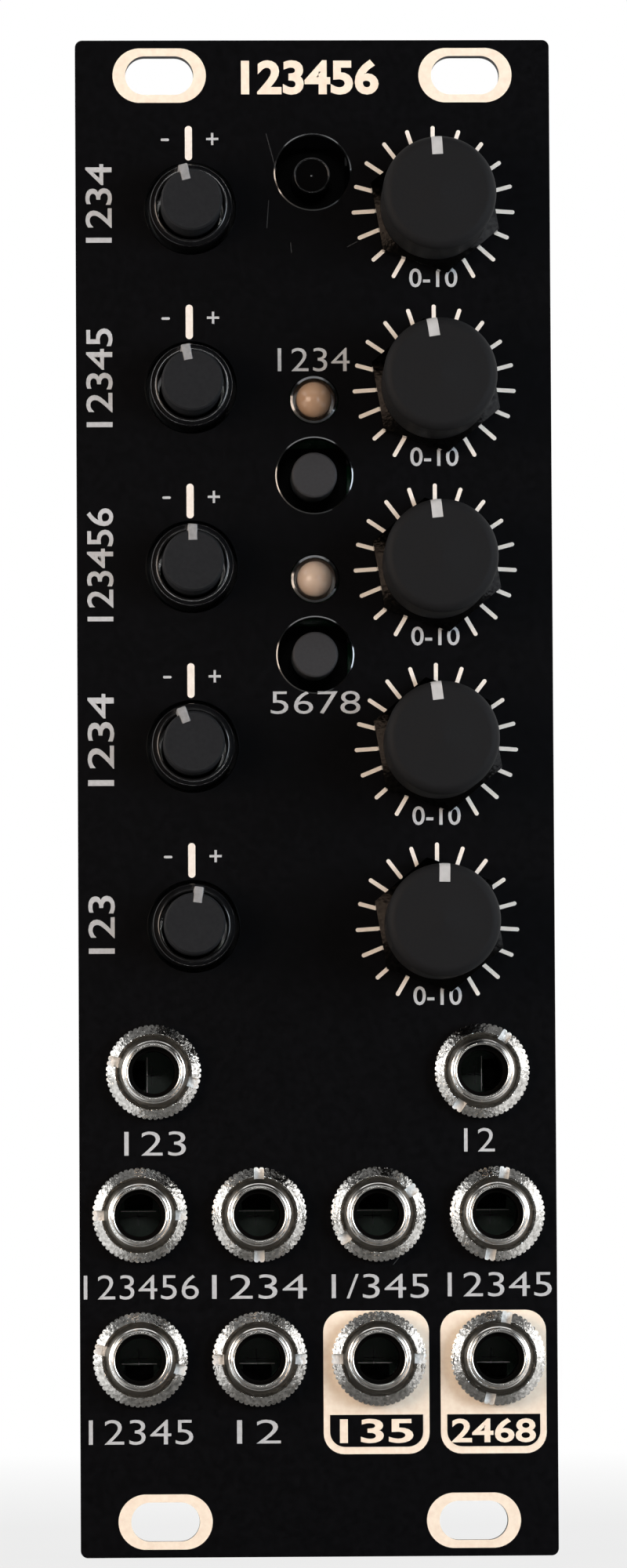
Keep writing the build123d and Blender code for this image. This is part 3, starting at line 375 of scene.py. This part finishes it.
def merge(name, *pieces):
    """Joins pieces into one, with their places in its mesh."""
    select_only(*pieces)
    if len(pieces) > 1:
        bpy.ops.object.join()
    joined = bpy.context.object
    bpy.ops.object.transform_apply(location=True, rotation=True, scale=True)
    joined.name = joined.data.name = name
    return joined


def stand_up(piece, finish, body="module"):
    """Turns a drawn piece up to face the viewer, gives it its finish, and fixes it to its body."""
    select_only(piece)
    piece.rotation_euler = (math.radians(90), 0, 0)
    bpy.ops.object.transform_apply(location=True, rotation=True, scale=True)
    piece.data.materials.clear()
    piece.data.materials.append(finish)
    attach(piece, body)
    return piece


def text(name, words, x, y, width, tall, turn=0, height=PANEL_TOP, thickness=INK, bold=-0.006):
    """Plain figures, drawn to a width and a height in mm about their middle."""
    bpy.ops.object.select_all(action="DESELECT")
    bpy.ops.object.text_add(location=(0, 0, 0))
    piece = bpy.context.object
    piece.name = name
    piece.data.body = words
    piece.data.offset = bold
    piece.data.extrude = 0.01
    piece.data.resolution_u = 4
    bpy.ops.object.convert(target="MESH")
    bpy.ops.object.origin_set(type="ORIGIN_GEOMETRY", center="BOUNDS")
    piece.dimensions = (width * MM, tall * MM, thickness * MM)
    piece.location = (x * MM, y * MM, (height + thickness / 2) * MM)
    piece.rotation_euler = (0, 0, math.radians(turn))
    bpy.ops.object.transform_apply(location=True, rotation=True, scale=True)
    return piece


def slot_window():
    """A bare window in the mask round a rail slot, wider at its ends than along its sides."""
    sides, length, width, slot_length, slot_width = 48, 7.94, 4.65, 5.8, 3.3
    piece = begin("slot_windows", "circle", vertices=sides, radius=width / 2 * MM, fill_type="NGON",
                  location=(0, 0, PANEL_TOP * MM), rotation=(0, 0, math.pi / sides))
    for side in (-1, 1):
        pick(piece, "verts", lambda v: (piece.matrix_world @ v.co).x * side > 0)
        bpy.ops.transform.translate(value=(side * (length - width) / 2 * MM, 0, 0))
    rim = (width - slot_width) / 2
    pick(piece, "faces", lambda f: True)
    bpy.ops.mesh.inset(thickness=rim * MM, depth=0)
    bpy.ops.mesh.select_mode(type="VERT")
    inner = [v.index for v in bmesh.from_edit_mesh(piece.data).verts if v.select]
    for side in (-1, 1):
        pick(piece, "verts", lambda v: v.index in inner and (piece.matrix_world @ v.co).x * side > 0)
        bpy.ops.transform.translate(value=(-side * ((length - 2 * rim) - slot_length) / 2 * MM, 0, 0))
    pick(piece, "faces", lambda f: len(f.verts) > 4)
    bpy.ops.mesh.delete(type="FACE")
    return thicken(piece, INK)


stand_up(repeat(slot_window(), [(x, z, 0) for x in (-13, 13) for z in (-61.25, 61.25)]), bare_laminate)

# Scales round the knobs, 300 degrees in 16 steps, and the lines with their signs over the small shafts
scale = repeat(capsule("knob_scales", 2.03, 0.35, foot=4.91),
               [(0, 0, 300 / 16 * step) for step in range(-8, 9)])
stand_up(repeat(scale, [(KNOB_X - 0.08, z + 0.07, 0) for z in ROWS]), cream_ticks)
stand_up(repeat(capsule("trimmer_lines", 2.95, 0.62, foot=4.0),
                [(TRIMMER_X - 0.14, z + 0.1, 0) for z in ROWS]), cream_ticks)


def plus_sign():
    """A plus: a grid of nine faces drawn out to four arms, with its corners taken away."""
    arm, stroke = 0.52, 0.2
    piece = begin("plus_signs", "grid", x_subdivisions=3, y_subdivisions=3, size=3 * stroke * MM,
                  location=(0, 0, PANEL_TOP * MM))
    pick(piece, "faces", lambda f: min(abs(c) for c in f.calc_center_median().xy) > stroke / 2 * MM)
    bpy.ops.mesh.delete(type="FACE")
    for axis in (0, 1):
        for side in (-1, 1):
            pick(piece, "verts", lambda v: v.co[axis] * side > stroke * MM)
            move = [0, 0, 0]
            move[axis] = side * (arm - 1.5 * stroke) * MM
            bpy.ops.transform.translate(value=move)
    return thicken(piece, INK)


stand_up(repeat(plus_sign(), [(TRIMMER_X + 1.88, z + 5.93, 0) for z in ROWS]), white_ink)
stand_up(repeat(capsule("minus_signs", 0.72, 0.22), [(TRIMMER_X - 2.5, z + 5.87, 90) for z in ROWS]),
         white_ink)

# Plain figures beside the controls. Upright ones: words, middle and length. The others: words, middle
# across and up the panel, width and height.
SIDE_FIGURES = (("1234", 50.35, 6.7), ("12345", 35.5, 8.4), ("123456", 19.6, 9.6), ("1234", 4.75, 7.8),
                ("123", -10.9, 4.9))
FIGURES = (
    ("1234", 0, 37.0, 6.1, 2.0), ("5678", 0, 7.86, 7.6, 1.93),
    ("123", -13.75, -29.4, 5.2, 2.06), ("12", 13.66, -29.2, 2.6, 2.0),
    ("123456", -14.97, -41.5, 9.7, 2.06), ("1234", -5.0, -41.5, 8.0, 2.06),
    ("1/345", 5.2, -41.5, 8.2, 2.06), ("12345", 15.3, -41.4, 8.8, 2.06),
    ("12345", -15.04, -53.7, 8.8, 2.1), ("12", -5.1, -53.7, 3.7, 2.0),
)
figures = [text("knob_figures", "0-10", KNOB_X - 0.1, z - 5.95, 4.1, 1.6, bold=0.01) for z in ROWS]
figures += [text("side_figures", words, -18.18, middle, length, 2.25, turn=90, bold=0.008)
            for words, middle, length in SIDE_FIGURES]
figures += [text("level_figures", *row) for row in FIGURES]
stand_up(merge("printed_figures", *figures), white_ink)


def plate(name, width, tall, radius, low_radius, x, y, height, hole=None):
    """A flat plate with round corners, the lower ones with a radius of their own, and a hole where asked."""
    piece = begin_sized(name, "plane", (width, tall, 1), (x, y, height))
    for side, round_off in ((1, radius), (-1, low_radius)):
        if round_off:
            limit = 0.4 * tall * MM
            pick(piece, "verts", lambda v: ((piece.matrix_world @ v.co).y - y * MM) * side > limit)
            bpy.ops.mesh.bevel(offset=round_off * MM, segments=8, affect="VERTICES")
    if hole:
        hole_x, hole_y, hole_radius = hole
        bpy.ops.mesh.select_all(action="SELECT")
        bpy.ops.mesh.delete(type="ONLY_FACE")
        bpy.ops.mesh.primitive_circle_add(vertices=64, radius=hole_radius * MM,
                                          location=(hole_x * MM, hole_y * MM, height * MM))
        bpy.ops.mesh.select_all(action="SELECT")
        bpy.ops.mesh.fill()
    return thicken(piece, INK)


# Output jacks: a bare window with a black plate in it, and bare figures on that
for number, (x, words, width) in enumerate(((4.83, "135", 6.2), (14.72, "2468", 7.1)), start=9):
    under_nut = (JACKS[number - 1][0], LOWER_JACK_Z, 3.5)
    stand_up(plate(f"output_window_{number}", 8.93, 12.08, 1.75, 1.75, x, -49.6, PANEL_TOP, under_nut),
             bare_laminate)
    stand_up(plate(f"output_plate_{number}", 7.85, 2.7, 0, 1.25, x, -53.68, PANEL_TOP + INK), black_mask)
    stand_up(text(f"output_figures_{number}", words, x, -53.7, width, 2.05, height=PANEL_TOP + 2 * INK,
                  bold=0.02), bare_laminate)

# Bare figures at the head
stand_up(text("name_figures", "123456", -0.2, 61.1, 11.7, 3.0, bold=0.035), bare_laminate)


def lips(name, radius, width, rise, places, finish):
    """A narrow slope on the rims of plated holes, its inner edge higher or lower by a share of its width."""
    inner, foot = radius - 0.01 - width, PANEL_TOP - 0.03
    crest, inside = foot + rise * width, 0.1
    profile = [(radius, foot), (inner, crest), (inner - 0.02, crest - 0.06), (inner - 0.02, inside),
               (radius - 0.005, inside), (radius, foot)]
    return stand_up(repeat(lathe(name, profile, 72, 20), [(x, z, 0) for x, z in places]), finish)


# Plated holes round the small shafts' bushings, the buttons and the lights
lips("trimmer_hole_lips", 3.95, 0.05, -0.65, [(TRIMMER_X, z) for z in ROWS], plated_rim)
lips("button_hole_lips", 3.38, 0.17, 0.42, BUTTONS + [RECESSED], plated_rim)
lips("light_hole_lips", 2.0, 0.18, 0.42, LIGHTS, plated_rim)

# The small bushings' front edges: two fine beads, where the light draws thin rings
rim = [(3.505, 3.2), (3.505, 3.68), (3.48, 3.78), (3.43, 3.83), (3.38, 3.83), (3.34, 3.805),
       (3.06, 3.805), (3.03, 3.83), (2.99, 3.84), (2.94, 3.82), (2.905, 3.76), (2.89, 3.64), (2.89, 3.3),
       (2.95, 3.3), (2.95, 3.6), (3.4, 3.6), (3.4, 3.2), (3.505, 3.2)]
stand_up(repeat(lathe("trimmer_bushing_rims", rim, 96, 35), [(TRIMMER_X, z, 0) for z in ROWS]),
         polished_nylon)

# Rolled lips of the jacks' mouths, which draw the light into two fine rings
mouth = [(2.14, 3.3), (2.14, 3.8), (2.16, 3.88), (2.21, 3.935), (2.28, 3.95), (2.35, 3.94), (2.43, 3.9),
         (2.5, 3.83), (2.56, 3.73), (2.59, 3.62), (2.56, 3.5), (2.3, 3.3), (2.14, 3.3)]
stand_up(repeat(lathe("jack_mouth_lips", mouth, 96, 60), JACKS), rolled_nickel)

# Deep in each jack: a pale strip on the contact's edge, a painted highlight for the line of light on the
# spring, and a cross of ink on the board under it
edge = capsule("contact_edge_highlights", 3.0, 0.05, foot=-1.5, height=-7.2, thickness=0.05)
stand_up(repeat(repeat(edge, [(0, 0.42, 90)]), JACKS), spring_edge_highlight)
cross = repeat(capsule("jack_crosses", 1.6, 0.1, foot=-0.8, height=BOARD_FRONT, thickness=THIN_INK),
               [(0, 0, 0), (0, 0, 90)])
stand_up(repeat(cross, JACKS), white_ink)

# The recessed button: a thin ring and a dot on its plunger, and a black plate on the board round its switch:
# painted shade that keeps the well dark
front = -0.9
ring = lathe("recessed_plunger_marks", [(1.36, front), (1.38, front + 0.05), (1.44, front + 0.07),
                                        (1.5, front + 0.05), (1.52, front), (1.36, front)], 64, 60)
dot = lathe("plunger_dot", [(0.14, front), (0.13, front + 0.04), (0, front + 0.05)], 24, 60)
stand_up(merge("recessed_plunger_marks", repeat(ring, [(*RECESSED, 0)]), repeat(dot, [(*RECESSED, 0)])),
         polished_nylon, body="recessed_button_key")
# Painted shade: a black plate on the control board behind the recessed hole
stand_up(plate("well_shade", 8.4, 8.6, 0.4, 0.4, 0, 53.18, BOARD_FRONT), black_mask)

# Rub marks in the mask, most of them by the recessed button: middle, turn and length
RUBS = ((-3.95, 56.3, 165, 3.2), (-3.75, 50.6, 184, 2.4), (-1.9, 47.0, 176, 0.9), (2.9, 46.6, 62, 1.0),
        (6.3, -39.7, 40, 0.8))
stand_up(merge("rub_marks", *[repeat(capsule("rub_mark", length, 0.07, thickness=0.006), [(x, z, turn)])
                              for x, z, turn, length in RUBS]), worn_mask)

# Behind the panel. These pieces are drawn as seen from behind, X to the viewer's right and heights counted
# from the panel's rear face away from it, and are turned round before they are stood up.
CONTROL_REAR = 11.6
MAIN_REAR = 24.2


def rear(piece, finish):
    """Turns a drawn piece round to face away from the viewer, and finishes it as the others."""
    select_only(piece)
    piece.rotation_euler = (0, math.pi, 0)
    bpy.ops.object.transform_apply(location=True, rotation=True, scale=True)
    return stand_up(piece, finish)


def block(name, width, tall, low, high, x=0.0, y=0.0):
    """A block between two heights."""
    return close(begin_sized(name, "cube", (width, tall, high - low), (x, y, (low + high) / 2)))


def grid(x, y, step_x, step_y, columns, rows):
    """Places in columns and rows about a middle."""
    return [(x + (i - (columns - 1) / 2) * step_x, y + (j - (rows - 1) / 2) * step_y)
            for i in range(columns) for j in range(rows)]


def solder_cones(name, level, seats):
    """Solder joints on a board, each a cone that rises to the end of its pin."""
    profile = [(0.8, level - 0.02), (0.6, level + 0.12), (0.42, level + 0.4), (0.36, level + 0.85),
               (0, level + 0.9)]
    rear(repeat(lathe(name, profile, 12, 60), [(x, y, 0) for x, y in seats]), solder)


# Solder joints of the potentiometers' pins and legs, the lights, the switches and the jacks
POT_COLUMNS = (-KNOB_X, -TRIMMER_X)
SIDES = (-1, 1)
cones = [(x + 2.5 * pin, z - 5.45) for x in POT_COLUMNS for z in ROWS for pin in (-1, 0, 1)]
cones += [(x + side * 4.95, z) for x in POT_COLUMNS for z in ROWS for side in SIDES]
cones += [(side * 1.27, z) for _, z in LIGHTS for side in SIDES]
cones += [(side * 3.15, z + end * 2.25) for _, z in BUTTONS + [RECESSED] for side in SIDES for end in SIDES]
for x, z, turn in JACKS:
    around = math.radians(turn)
    cones += [(-x - reach * math.sin(around), z + reach * math.cos(around)) for reach in (5.0, 3.3, -4.7)]
solder_cones("control_board_solder", CONTROL_REAR, cones)
PIN_PITCH = 2.54
STRIPS = (42.6, -21.0)
solder_cones("main_board_solder", MAIN_REAR,
             [seat for z in STRIPS for seat in grid(0, z, PIN_PITCH, PIN_PITCH, 2, 6)])

# Chips' leads, bent like a gull's wing down to the board
PROCESSOR = (8.36, 29.36)
CODEC = (-9.12, 30.22)
AMPLIFIERS = [(-11.4, -10.2), (11.4, -10.2), (-11.4, -23.96), (11.4, -23.96)]
REGULATORS = [(-15.2, 8.72), (15.2, 8.72)]


def leads(name, chips, half_width, half_length, sides, count, pitch, width, top, reach=1.0):
    """Leads of some chips, a row of them on each of the chosen sides."""
    piece = begin_sized(name, "plane", (1, width, 0.14), (0, 0, top), rotation=(0, math.radians(90), 0))
    for along, down in ((0.25, 0), (0.3, MAIN_REAR + 0.09 - top), (0.45, 0)):
        bend = (along * reach * MM, 0, down * MM)
        bpy.ops.mesh.extrude_region_move(TRANSFORM_OT_translate={"value": bend})
    close(piece)
    seats = []
    for x, y in chips:
        for turn in sides:
            c, n = round(math.cos(math.radians(turn))), round(math.sin(math.radians(turn)))
            half = half_width if c else half_length
            for pin in range(count):
                off = (pin - (count - 1) / 2) * pitch
                seats.append((x + c * half + n * off, y - n * half + c * off, turn))
    return repeat(piece, seats)


LONG_LEAD = 1.4
ALL_ROUND = (0, 90, 180, 270)
rear(merge("chip_leads",
           leads("leads_a", [PROCESSOR], 4.95, 4.95, ALL_ROUND, 16, 0.5, 0.22, MAIN_REAR + 0.7),
           leads("leads_b", [CODEC], 3.45, 3.45, ALL_ROUND, 12, 0.5, 0.22, MAIN_REAR + 0.6),
           leads("leads_c", AMPLIFIERS, 1.9, 2.4, (0, 180), 4, 1.15, 0.42, MAIN_REAR + 0.75),
           leads("leads_d", REGULATORS, 1.7, 3.2, (90,), 3, 1.15, 0.6, MAIN_REAR + 0.85, LONG_LEAD),
           leads("leads_e", REGULATORS, 1.7, 3.2, (270,), 1, 1.0, 2.4, MAIN_REAR + 0.85, LONG_LEAD)),
     tinned_steel)

# Can capacitors on black feet with two corners cut, a black mark on top
CANS = [(13.68, 0.98), (-13.68, 0.98), (-0.76, 25.92)]
foot_top = MAIN_REAR + 0.9
can_top = MAIN_REAR + 5.4
cans = lathe("can_capacitors",
             [(2.9, foot_top), (3.15, foot_top + 0.15), (3.15, foot_top + 0.6), (3.0, foot_top + 0.75),
              (3.0, foot_top + 0.9), (3.15, foot_top + 1.05), (3.15, can_top - 0.3), (3.05, can_top - 0.1),
              (2.85, can_top), (2.6, can_top - 0.03), (0, can_top - 0.03)], 64, 35)
foot = begin_sized("can_feet", "cube", (6.6, 6.6, 0.9), (0, 0, MAIN_REAR + 0.45))
pick(foot, "edges", lambda e: abs(e.verts[0].co.z - e.verts[1].co.z) > 1e-6 and e.verts[0].co.x > 0)
bpy.ops.mesh.bevel(offset=1.2 * MM, segments=1, affect="EDGES")
close(foot)
mark_edge = 0.9
mark = begin("can_marks", "circle", vertices=48, radius=2.6 * MM, fill_type="NGON",
             location=(0, 0, (can_top - 0.04) * MM))
pick(mark, "verts", lambda v: v.co.x < mark_edge * MM)
bpy.ops.transform.resize(value=(0, 1, 1), center_override=(mark_edge * MM, 0, 0))
thicken(mark, 0.03)
tab = block("can_tabs", 8.2, 0.7, MAIN_REAR + 0.01, MAIN_REAR + 0.2)
for piece, finish, slot in ((cans, drawn_can, "can_metal"), (foot, chip_epoxy, None),
                            (mark, chip_epoxy, None), (tab, solder, None)):
    piece = rear(repeat(piece, [(x, y, 0) for x, y in CANS]), finish)
    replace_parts(piece, "board_parts")

# Small capacitors and resistors with tinned ends
field = [(x, y, 0) for x, y in grid(0, -29.98, 5.32, 3.01, 6, 3) if abs(x) > 3 or y < -28]
near = [(side * 16.6, z, 90) for side in SIDES for z in (20.5, 24.0, 27.5, 31.0, 34.5)]
near += [(side * 5.9, z, 0) for side in SIDES for z in (-8.0, -11.2, -14.4, -24.0, -20.8)]
near += [(x, 37.2, 90) for x in (4.4, 6.4, 8.4, 10.4, 12.4)]
near += [(x, 36.4, 90) for x in (-12.0, -9.5, -7.0)]
for name, seats, finish, high in (("small_capacitors", field[::2] + near[::2], ceramic, 0.5),
                                  ("small_resistors", field[1::2] + near[1::2], chip_epoxy, 0.4)):
    piece = rear(repeat(block(name, 1.0, 0.8, MAIN_REAR + 0.03, MAIN_REAR + high - 0.04), seats), finish)
    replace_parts(piece, "board_parts")
ends = merge("tinned_ends", *[block("end", 0.32, 0.85, MAIN_REAR, MAIN_REAR + 0.5, side * 0.64)
                              for side in SIDES])
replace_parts(rear(repeat(ends, field + near), solder), "board_parts")


def tracks(name, level, routes, width=0.26):
    """Flat tracks on a board, each along a route of points, in mm."""
    bpy.ops.object.select_all(action="DESELECT")
    bpy.ops.curve.primitive_bezier_curve_add()
    piece = bpy.context.object
    piece.name = name
    piece.data.splines.clear()
    piece.data.bevel_depth = width / 2 * MM
    piece.data.bevel_resolution = 0
    for route in routes:
        line = piece.data.splines.new("POLY")
        line.points.add(len(route) - 1)
        for point, (x, y) in zip(line.points, route):
            point.co = (x * MM, y * MM, 0, 1)
    piece.data.use_fill_caps = True
    bpy.ops.object.convert(target="MESH")
    piece.scale = (1, 1, 0.25)
    piece.location = (0, 0, level * MM)
    bpy.ops.object.transform_apply(location=True, rotation=True, scale=True)
    return piece


routes = []
for pin in range(6):
    # From the upper pin strip to the processor, and from the can to the codec
    x, pad = PROCESSOR[0] + (pin - 2.5) * 0.9, 36.25 + PIN_PITCH * pin
    routes.append([(1.6, pad), (x - 0.8, pad), (x, pad - 0.8), (x, 35.4)])
    bend = -6.0 - 0.4 * pin
    routes.append([(-4.0, 24.4 - 0.8 * pin), (bend, 26.4 - 0.4 * pin), (bend, 26.6)])
for lane in range(5):
    x, level = 10.9 + 0.45 * lane, -8.4 - 1.15 * (lane % 4)
    for side in SIDES:
        # Down past the power header, in towards the lower pin strip, and short ones along the edges
        routes.append([(side * (x - 2.2), 22.8 - 0.5 * lane), (side * x, 20.6 - 0.5 * lane),
                       (side * x, -5.0 + 0.3 * lane), (side * (x - 0.9), -5.9 + 0.3 * lane),
                       (side * (x - 0.9), -7.0)])
        routes.append([(side * (8.6 - 0.4 * lane), level), (side * (4.4 - 0.35 * lane), level),
                       (side * (3.6 - 0.35 * lane), level - 0.8), (side * (3.6 - 0.35 * lane), -14.0)])
        routes.append([(side * 17.9, 16.0 - lane * 6.1), (side * 17.9, 12.5 - lane * 6.1)])
rear(tracks("main_board_tracks", MAIN_REAR, routes), copper_trace)
routes = [[(side * x, z - 4.6), (side * x, z + 3.4 - drop), (side * (x + 1.4), z + 4.8 - drop),
           (side * (x + 1.4), z + 8.6)]
          for side in SIDES for z in ROWS for drop, x in ((0, 7.0), (0.6, 6.2), (1.2, 5.4))]
rear(tracks("control_board_tracks", CONTROL_REAR, routes), copper_trace)

# Vias: small tinned eyelets at the ends of tracks
vias = [(side * (8.6 - 0.4 * lane), -8.4 - 1.15 * lane) for side in SIDES for lane in range(4)]
vias += [(side * 17.9, z) for side in SIDES for z in (16.2, 10.1, 4.0, -2.1)] + grid(0, 17.6, 1.4, 1.4, 5, 2)
eyelet = lathe("vias", [(0.34, MAIN_REAR - 0.02), (0.34, MAIN_REAR + 0.03), (0.16, MAIN_REAR + 0.035),
                        (0.12, MAIN_REAR - 0.02)], 16)
rear(repeat(eyelet, [(x, y, 0) for x, y in vias]), plated_rim)


def outline(width, tall, x, y, level, stroke=0.18):
    """A rectangle of ink, drawn as its outline."""
    piece = begin_sized("outline", "plane", (width, tall, 1), (x, y, level))
    bpy.ops.mesh.inset(thickness=stroke * MM, depth=0)
    bpy.ops.mesh.delete(type="FACE")
    return thicken(piece, THIN_INK)


# White outlines and figures on the boards. Figures and signs: words, middle across and up the board, width
# and height.
MAIN_FIGURES = (
    ("1", -3.5, 48.95, 0.2, 1.1), ("11", -3.8, 36.25, 0.8, 1.1), ("1", -3.5, -14.65, 0.2, 1.1),
    ("11", -3.8, -27.35, 0.8, 1.1), ("-", -12.2, 5.4, 0.9, 0.2), ("+", -12.2, 10.6, 0.9, 0.9),
    ("2", -14.9, 35.4, 0.7, 1.1), ("3", -16.6, -10.2, 0.7, 1.1), ("4", 16.6, -10.2, 0.7, 1.1),
    ("5", -16.6, -24.0, 0.7, 1.1), ("6", 16.6, -24.0, 0.7, 1.1),
)
lines = [outline(5.0, 15.8, 0, z, MAIN_REAR) for z in STRIPS] + [outline(21.4, 9.9, 0, 8.0, MAIN_REAR)]
lines += [outline(7.6, 7.6, x, y, MAIN_REAR) for x, y in CANS]
lines += [outline(11.4, 11.4, *PROCESSOR, MAIN_REAR), outline(8.6, 8.6, *CODEC, MAIN_REAR)]
lines += [outline(6.6, 5.2, x, y, MAIN_REAR) for x, y in AMPLIFIERS]
lines += [outline(2.7, 1.6, x, y, MAIN_REAR, 0.12) for x, y, _ in field]
lines += [text("mark", *row, height=MAIN_REAR, thickness=THIN_INK, bold=0.0) for row in MAIN_FIGURES]
rear(merge("main_board_marks", *lines), white_ink)
# On the control board, an outline under each potentiometer but the top ones, and a number by each jack
lines = [outline(11.2, 12.6, x, z - 0.6, CONTROL_REAR, 0.15) for x in POT_COLUMNS for z in ROWS[1:]]
for number, (x, z, _) in enumerate(JACKS, start=1):
    width = {1: 0.25, 10: 1.4}.get(number, 0.9)
    lines.append(text("mark", str(number), -x, z + 2.6, width, 1.4, height=CONTROL_REAR,
                      thickness=THIN_INK, bold=0.0))
rear(merge("control_board_marks", *lines), white_ink)

# Camera: where the photograph was taken from, a little left of the module and below its middle
bpy.ops.object.camera_add()
camera = bpy.context.object
bpy.context.scene.camera = camera
eye = Vector((-23.48, -786.6, -41.88)) * MM
aim = Vector((-0.206, -PANEL_TOP, 0.949)) * MM
lean = Matrix.Rotation(-0.0054, 3, "Z")
turn = (aim - eye).to_track_quat("-Z", "Y").to_matrix() @ lean
camera.matrix_world = Matrix.Translation(eye) @ turn.to_4x4()
camera.data.lens = 213.4
camera.data.sensor_width = 36


def softbox(name, place, size, radiance, colour):
    """A flat lamp that faces the module: place and size in metres, and the brightness that it shows."""
    bpy.ops.object.light_add(type="AREA", location=place)
    lamp = bpy.context.object
    lamp.name = name
    lamp.data.shape = "RECTANGLE"
    lamp.data.size, lamp.data.size_y = size
    lamp.data.energy = radiance * math.pi * size[0] * size[1]
    lamp.data.color = linear(colour)[:3]
    lamp.rotation_euler = (-Vector(place)).to_track_quat("-Z", "Y").to_euler()


softbox("left_softbox", (-0.25, -0.27, 0.025), (0.26, 0.17), 5.9, "#ffe6d0")
softbox("right_softbox", (0.25, -0.27, 0.025), (0.26, 0.17), 6.5, "#e7f3ff")
softbox("upper_card", (0, -0.36, 0.38), (0.5, 0.12), 1.2, "#ffffff")
softbox("left_glint", (-0.05, -0.95, 0.12), (0.03, 0.03), 30, "#ffffff")
softbox("right_glint", (0.02, -0.95, 0.12), (0.03, 0.03), 30, "#ffffff")


# Floor and room. The floor is grey to the lamps. Away from the module it is white to the camera's rays, and
# to those that metal and glass send behind the module or beside it.

def mirrored_rays(tree):
    """A mask of the rays that metal and glass send."""
    paths = add(tree, "ShaderNodeLightPath").outputs
    return add(tree, "ShaderNodeMath", {0: paths["Is Glossy Ray"], 1: paths["Is Transmission Ray"]},
               operation="MAXIMUM").outputs[0]


floor_mat, tree, floor_shader = material("pale_painted_floor", Base_Color=linear("#727270"), Roughness=0.8)
piece = begin("floor", "grid", x_subdivisions=8, y_subdivisions=8, size=8,
              location=(0, 0, PANEL_FOOT_Z * MM))
bpy.ops.object.mode_set(mode="OBJECT")
piece.data.materials.append(floor_mat)
place = add(tree, "ShaderNodeTexCoord").outputs["Object"]
reach = add(tree, "ShaderNodeVectorMath", {0: place}, operation="LENGTH").outputs["Value"]
across, along, _ = add(tree, "ShaderNodeSeparateXYZ", {0: place}).outputs
aside = add(tree, "ShaderNodeMath", {0: across}, operation="ABSOLUTE").outputs[0]
aside = add(tree, "ShaderNodeMath", {0: aside, 1: reach}, operation="DIVIDE").outputs[0]
behind = add(tree, "ShaderNodeMapRange", {"Value": along, "From Min": -0.15, "From Max": 0.05})
beside = add(tree, "ShaderNodeMapRange", {"Value": aside, "From Min": 0.7, "From Max": 0.9})
camera_rays = add(tree, "ShaderNodeLightPath").outputs["Is Camera Ray"]
seen = 0.0
for rays, where, start, end, near in ((camera_rays, 1.0, 0.1, 0.5, 0.8),
                                      (mirrored_rays(tree), behind.outputs["Result"], 0.1, 0.5, 0.08),
                                      (mirrored_rays(tree), beside.outputs["Result"], 0.02, 0.04, 0.0)):
    far = add(tree, "ShaderNodeMapRange", {"Value": reach, "From Min": start, "From Max": end,
                                           "To Min": near})
    part = add(tree, "ShaderNodeMath", {0: rays, 1: where}, operation="MULTIPLY").outputs[0]
    part = add(tree, "ShaderNodeMath", {0: part, 1: far.outputs["Result"]}, operation="MULTIPLY").outputs[0]
    seen = add(tree, "ShaderNodeMath", {0: part, 1: seen}, operation="MAXIMUM").outputs[0]
white = add(tree, "ShaderNodeEmission", {"Strength": 1.0})
mixed = add(tree, "ShaderNodeMixShader", {0: seen, 1: floor_shader.outputs[0], 2: white.outputs[0]})
tree.links.new(mixed.outputs[0], tree.nodes["Material Output"].inputs["Surface"])

# The room: dark in front of the module, grey round it, bright at its sides and pale behind it. Rays from the
# camera see white everywhere, and those that metal and glass send see white behind the module.
world = bpy.data.worlds.new("studio")
bpy.context.scene.world = world
world.use_nodes = True
tree = world.node_tree
tree.nodes.clear()
direction = add(tree, "ShaderNodeTexCoord").outputs["Generated"]
across, along, _ = add(tree, "ShaderNodeSeparateXYZ", {0: direction}).outputs
aside = add(tree, "ShaderNodeMath", {0: across}, operation="ABSOLUTE").outputs[0]
seen = add(tree, "ShaderNodeLightPath").outputs["Is Camera Ray"]
for rays, value, start, end, low, high in ((1.0, along, -0.75, -0.3, 0.03, 0.2),
                                           (1.0, aside, 0.62, 0.82, 0.0, 2.0),
                                           (1.0, along, 0.05, 0.3, 0.0, 0.85),
                                           (mirrored_rays(tree), along, 0.05, 0.3, 0.0, 1.0)):
    part = add(tree, "ShaderNodeMapRange", {"Value": value, "From Min": start, "From Max": end,
                                            "To Min": low, "To Max": high})
    part = add(tree, "ShaderNodeMath", {0: rays, 1: part.outputs["Result"]}, operation="MULTIPLY").outputs[0]
    seen = add(tree, "ShaderNodeMath", {0: part, 1: seen}, operation="MAXIMUM").outputs[0]
sky = add(tree, "ShaderNodeBackground", {"Color": linear("#ffffff"), "Strength": seen})
add(tree, "ShaderNodeOutputWorld", {"Surface": sky.outputs[0]})

bpy.context.scene.view_settings.view_transform = "Standard"
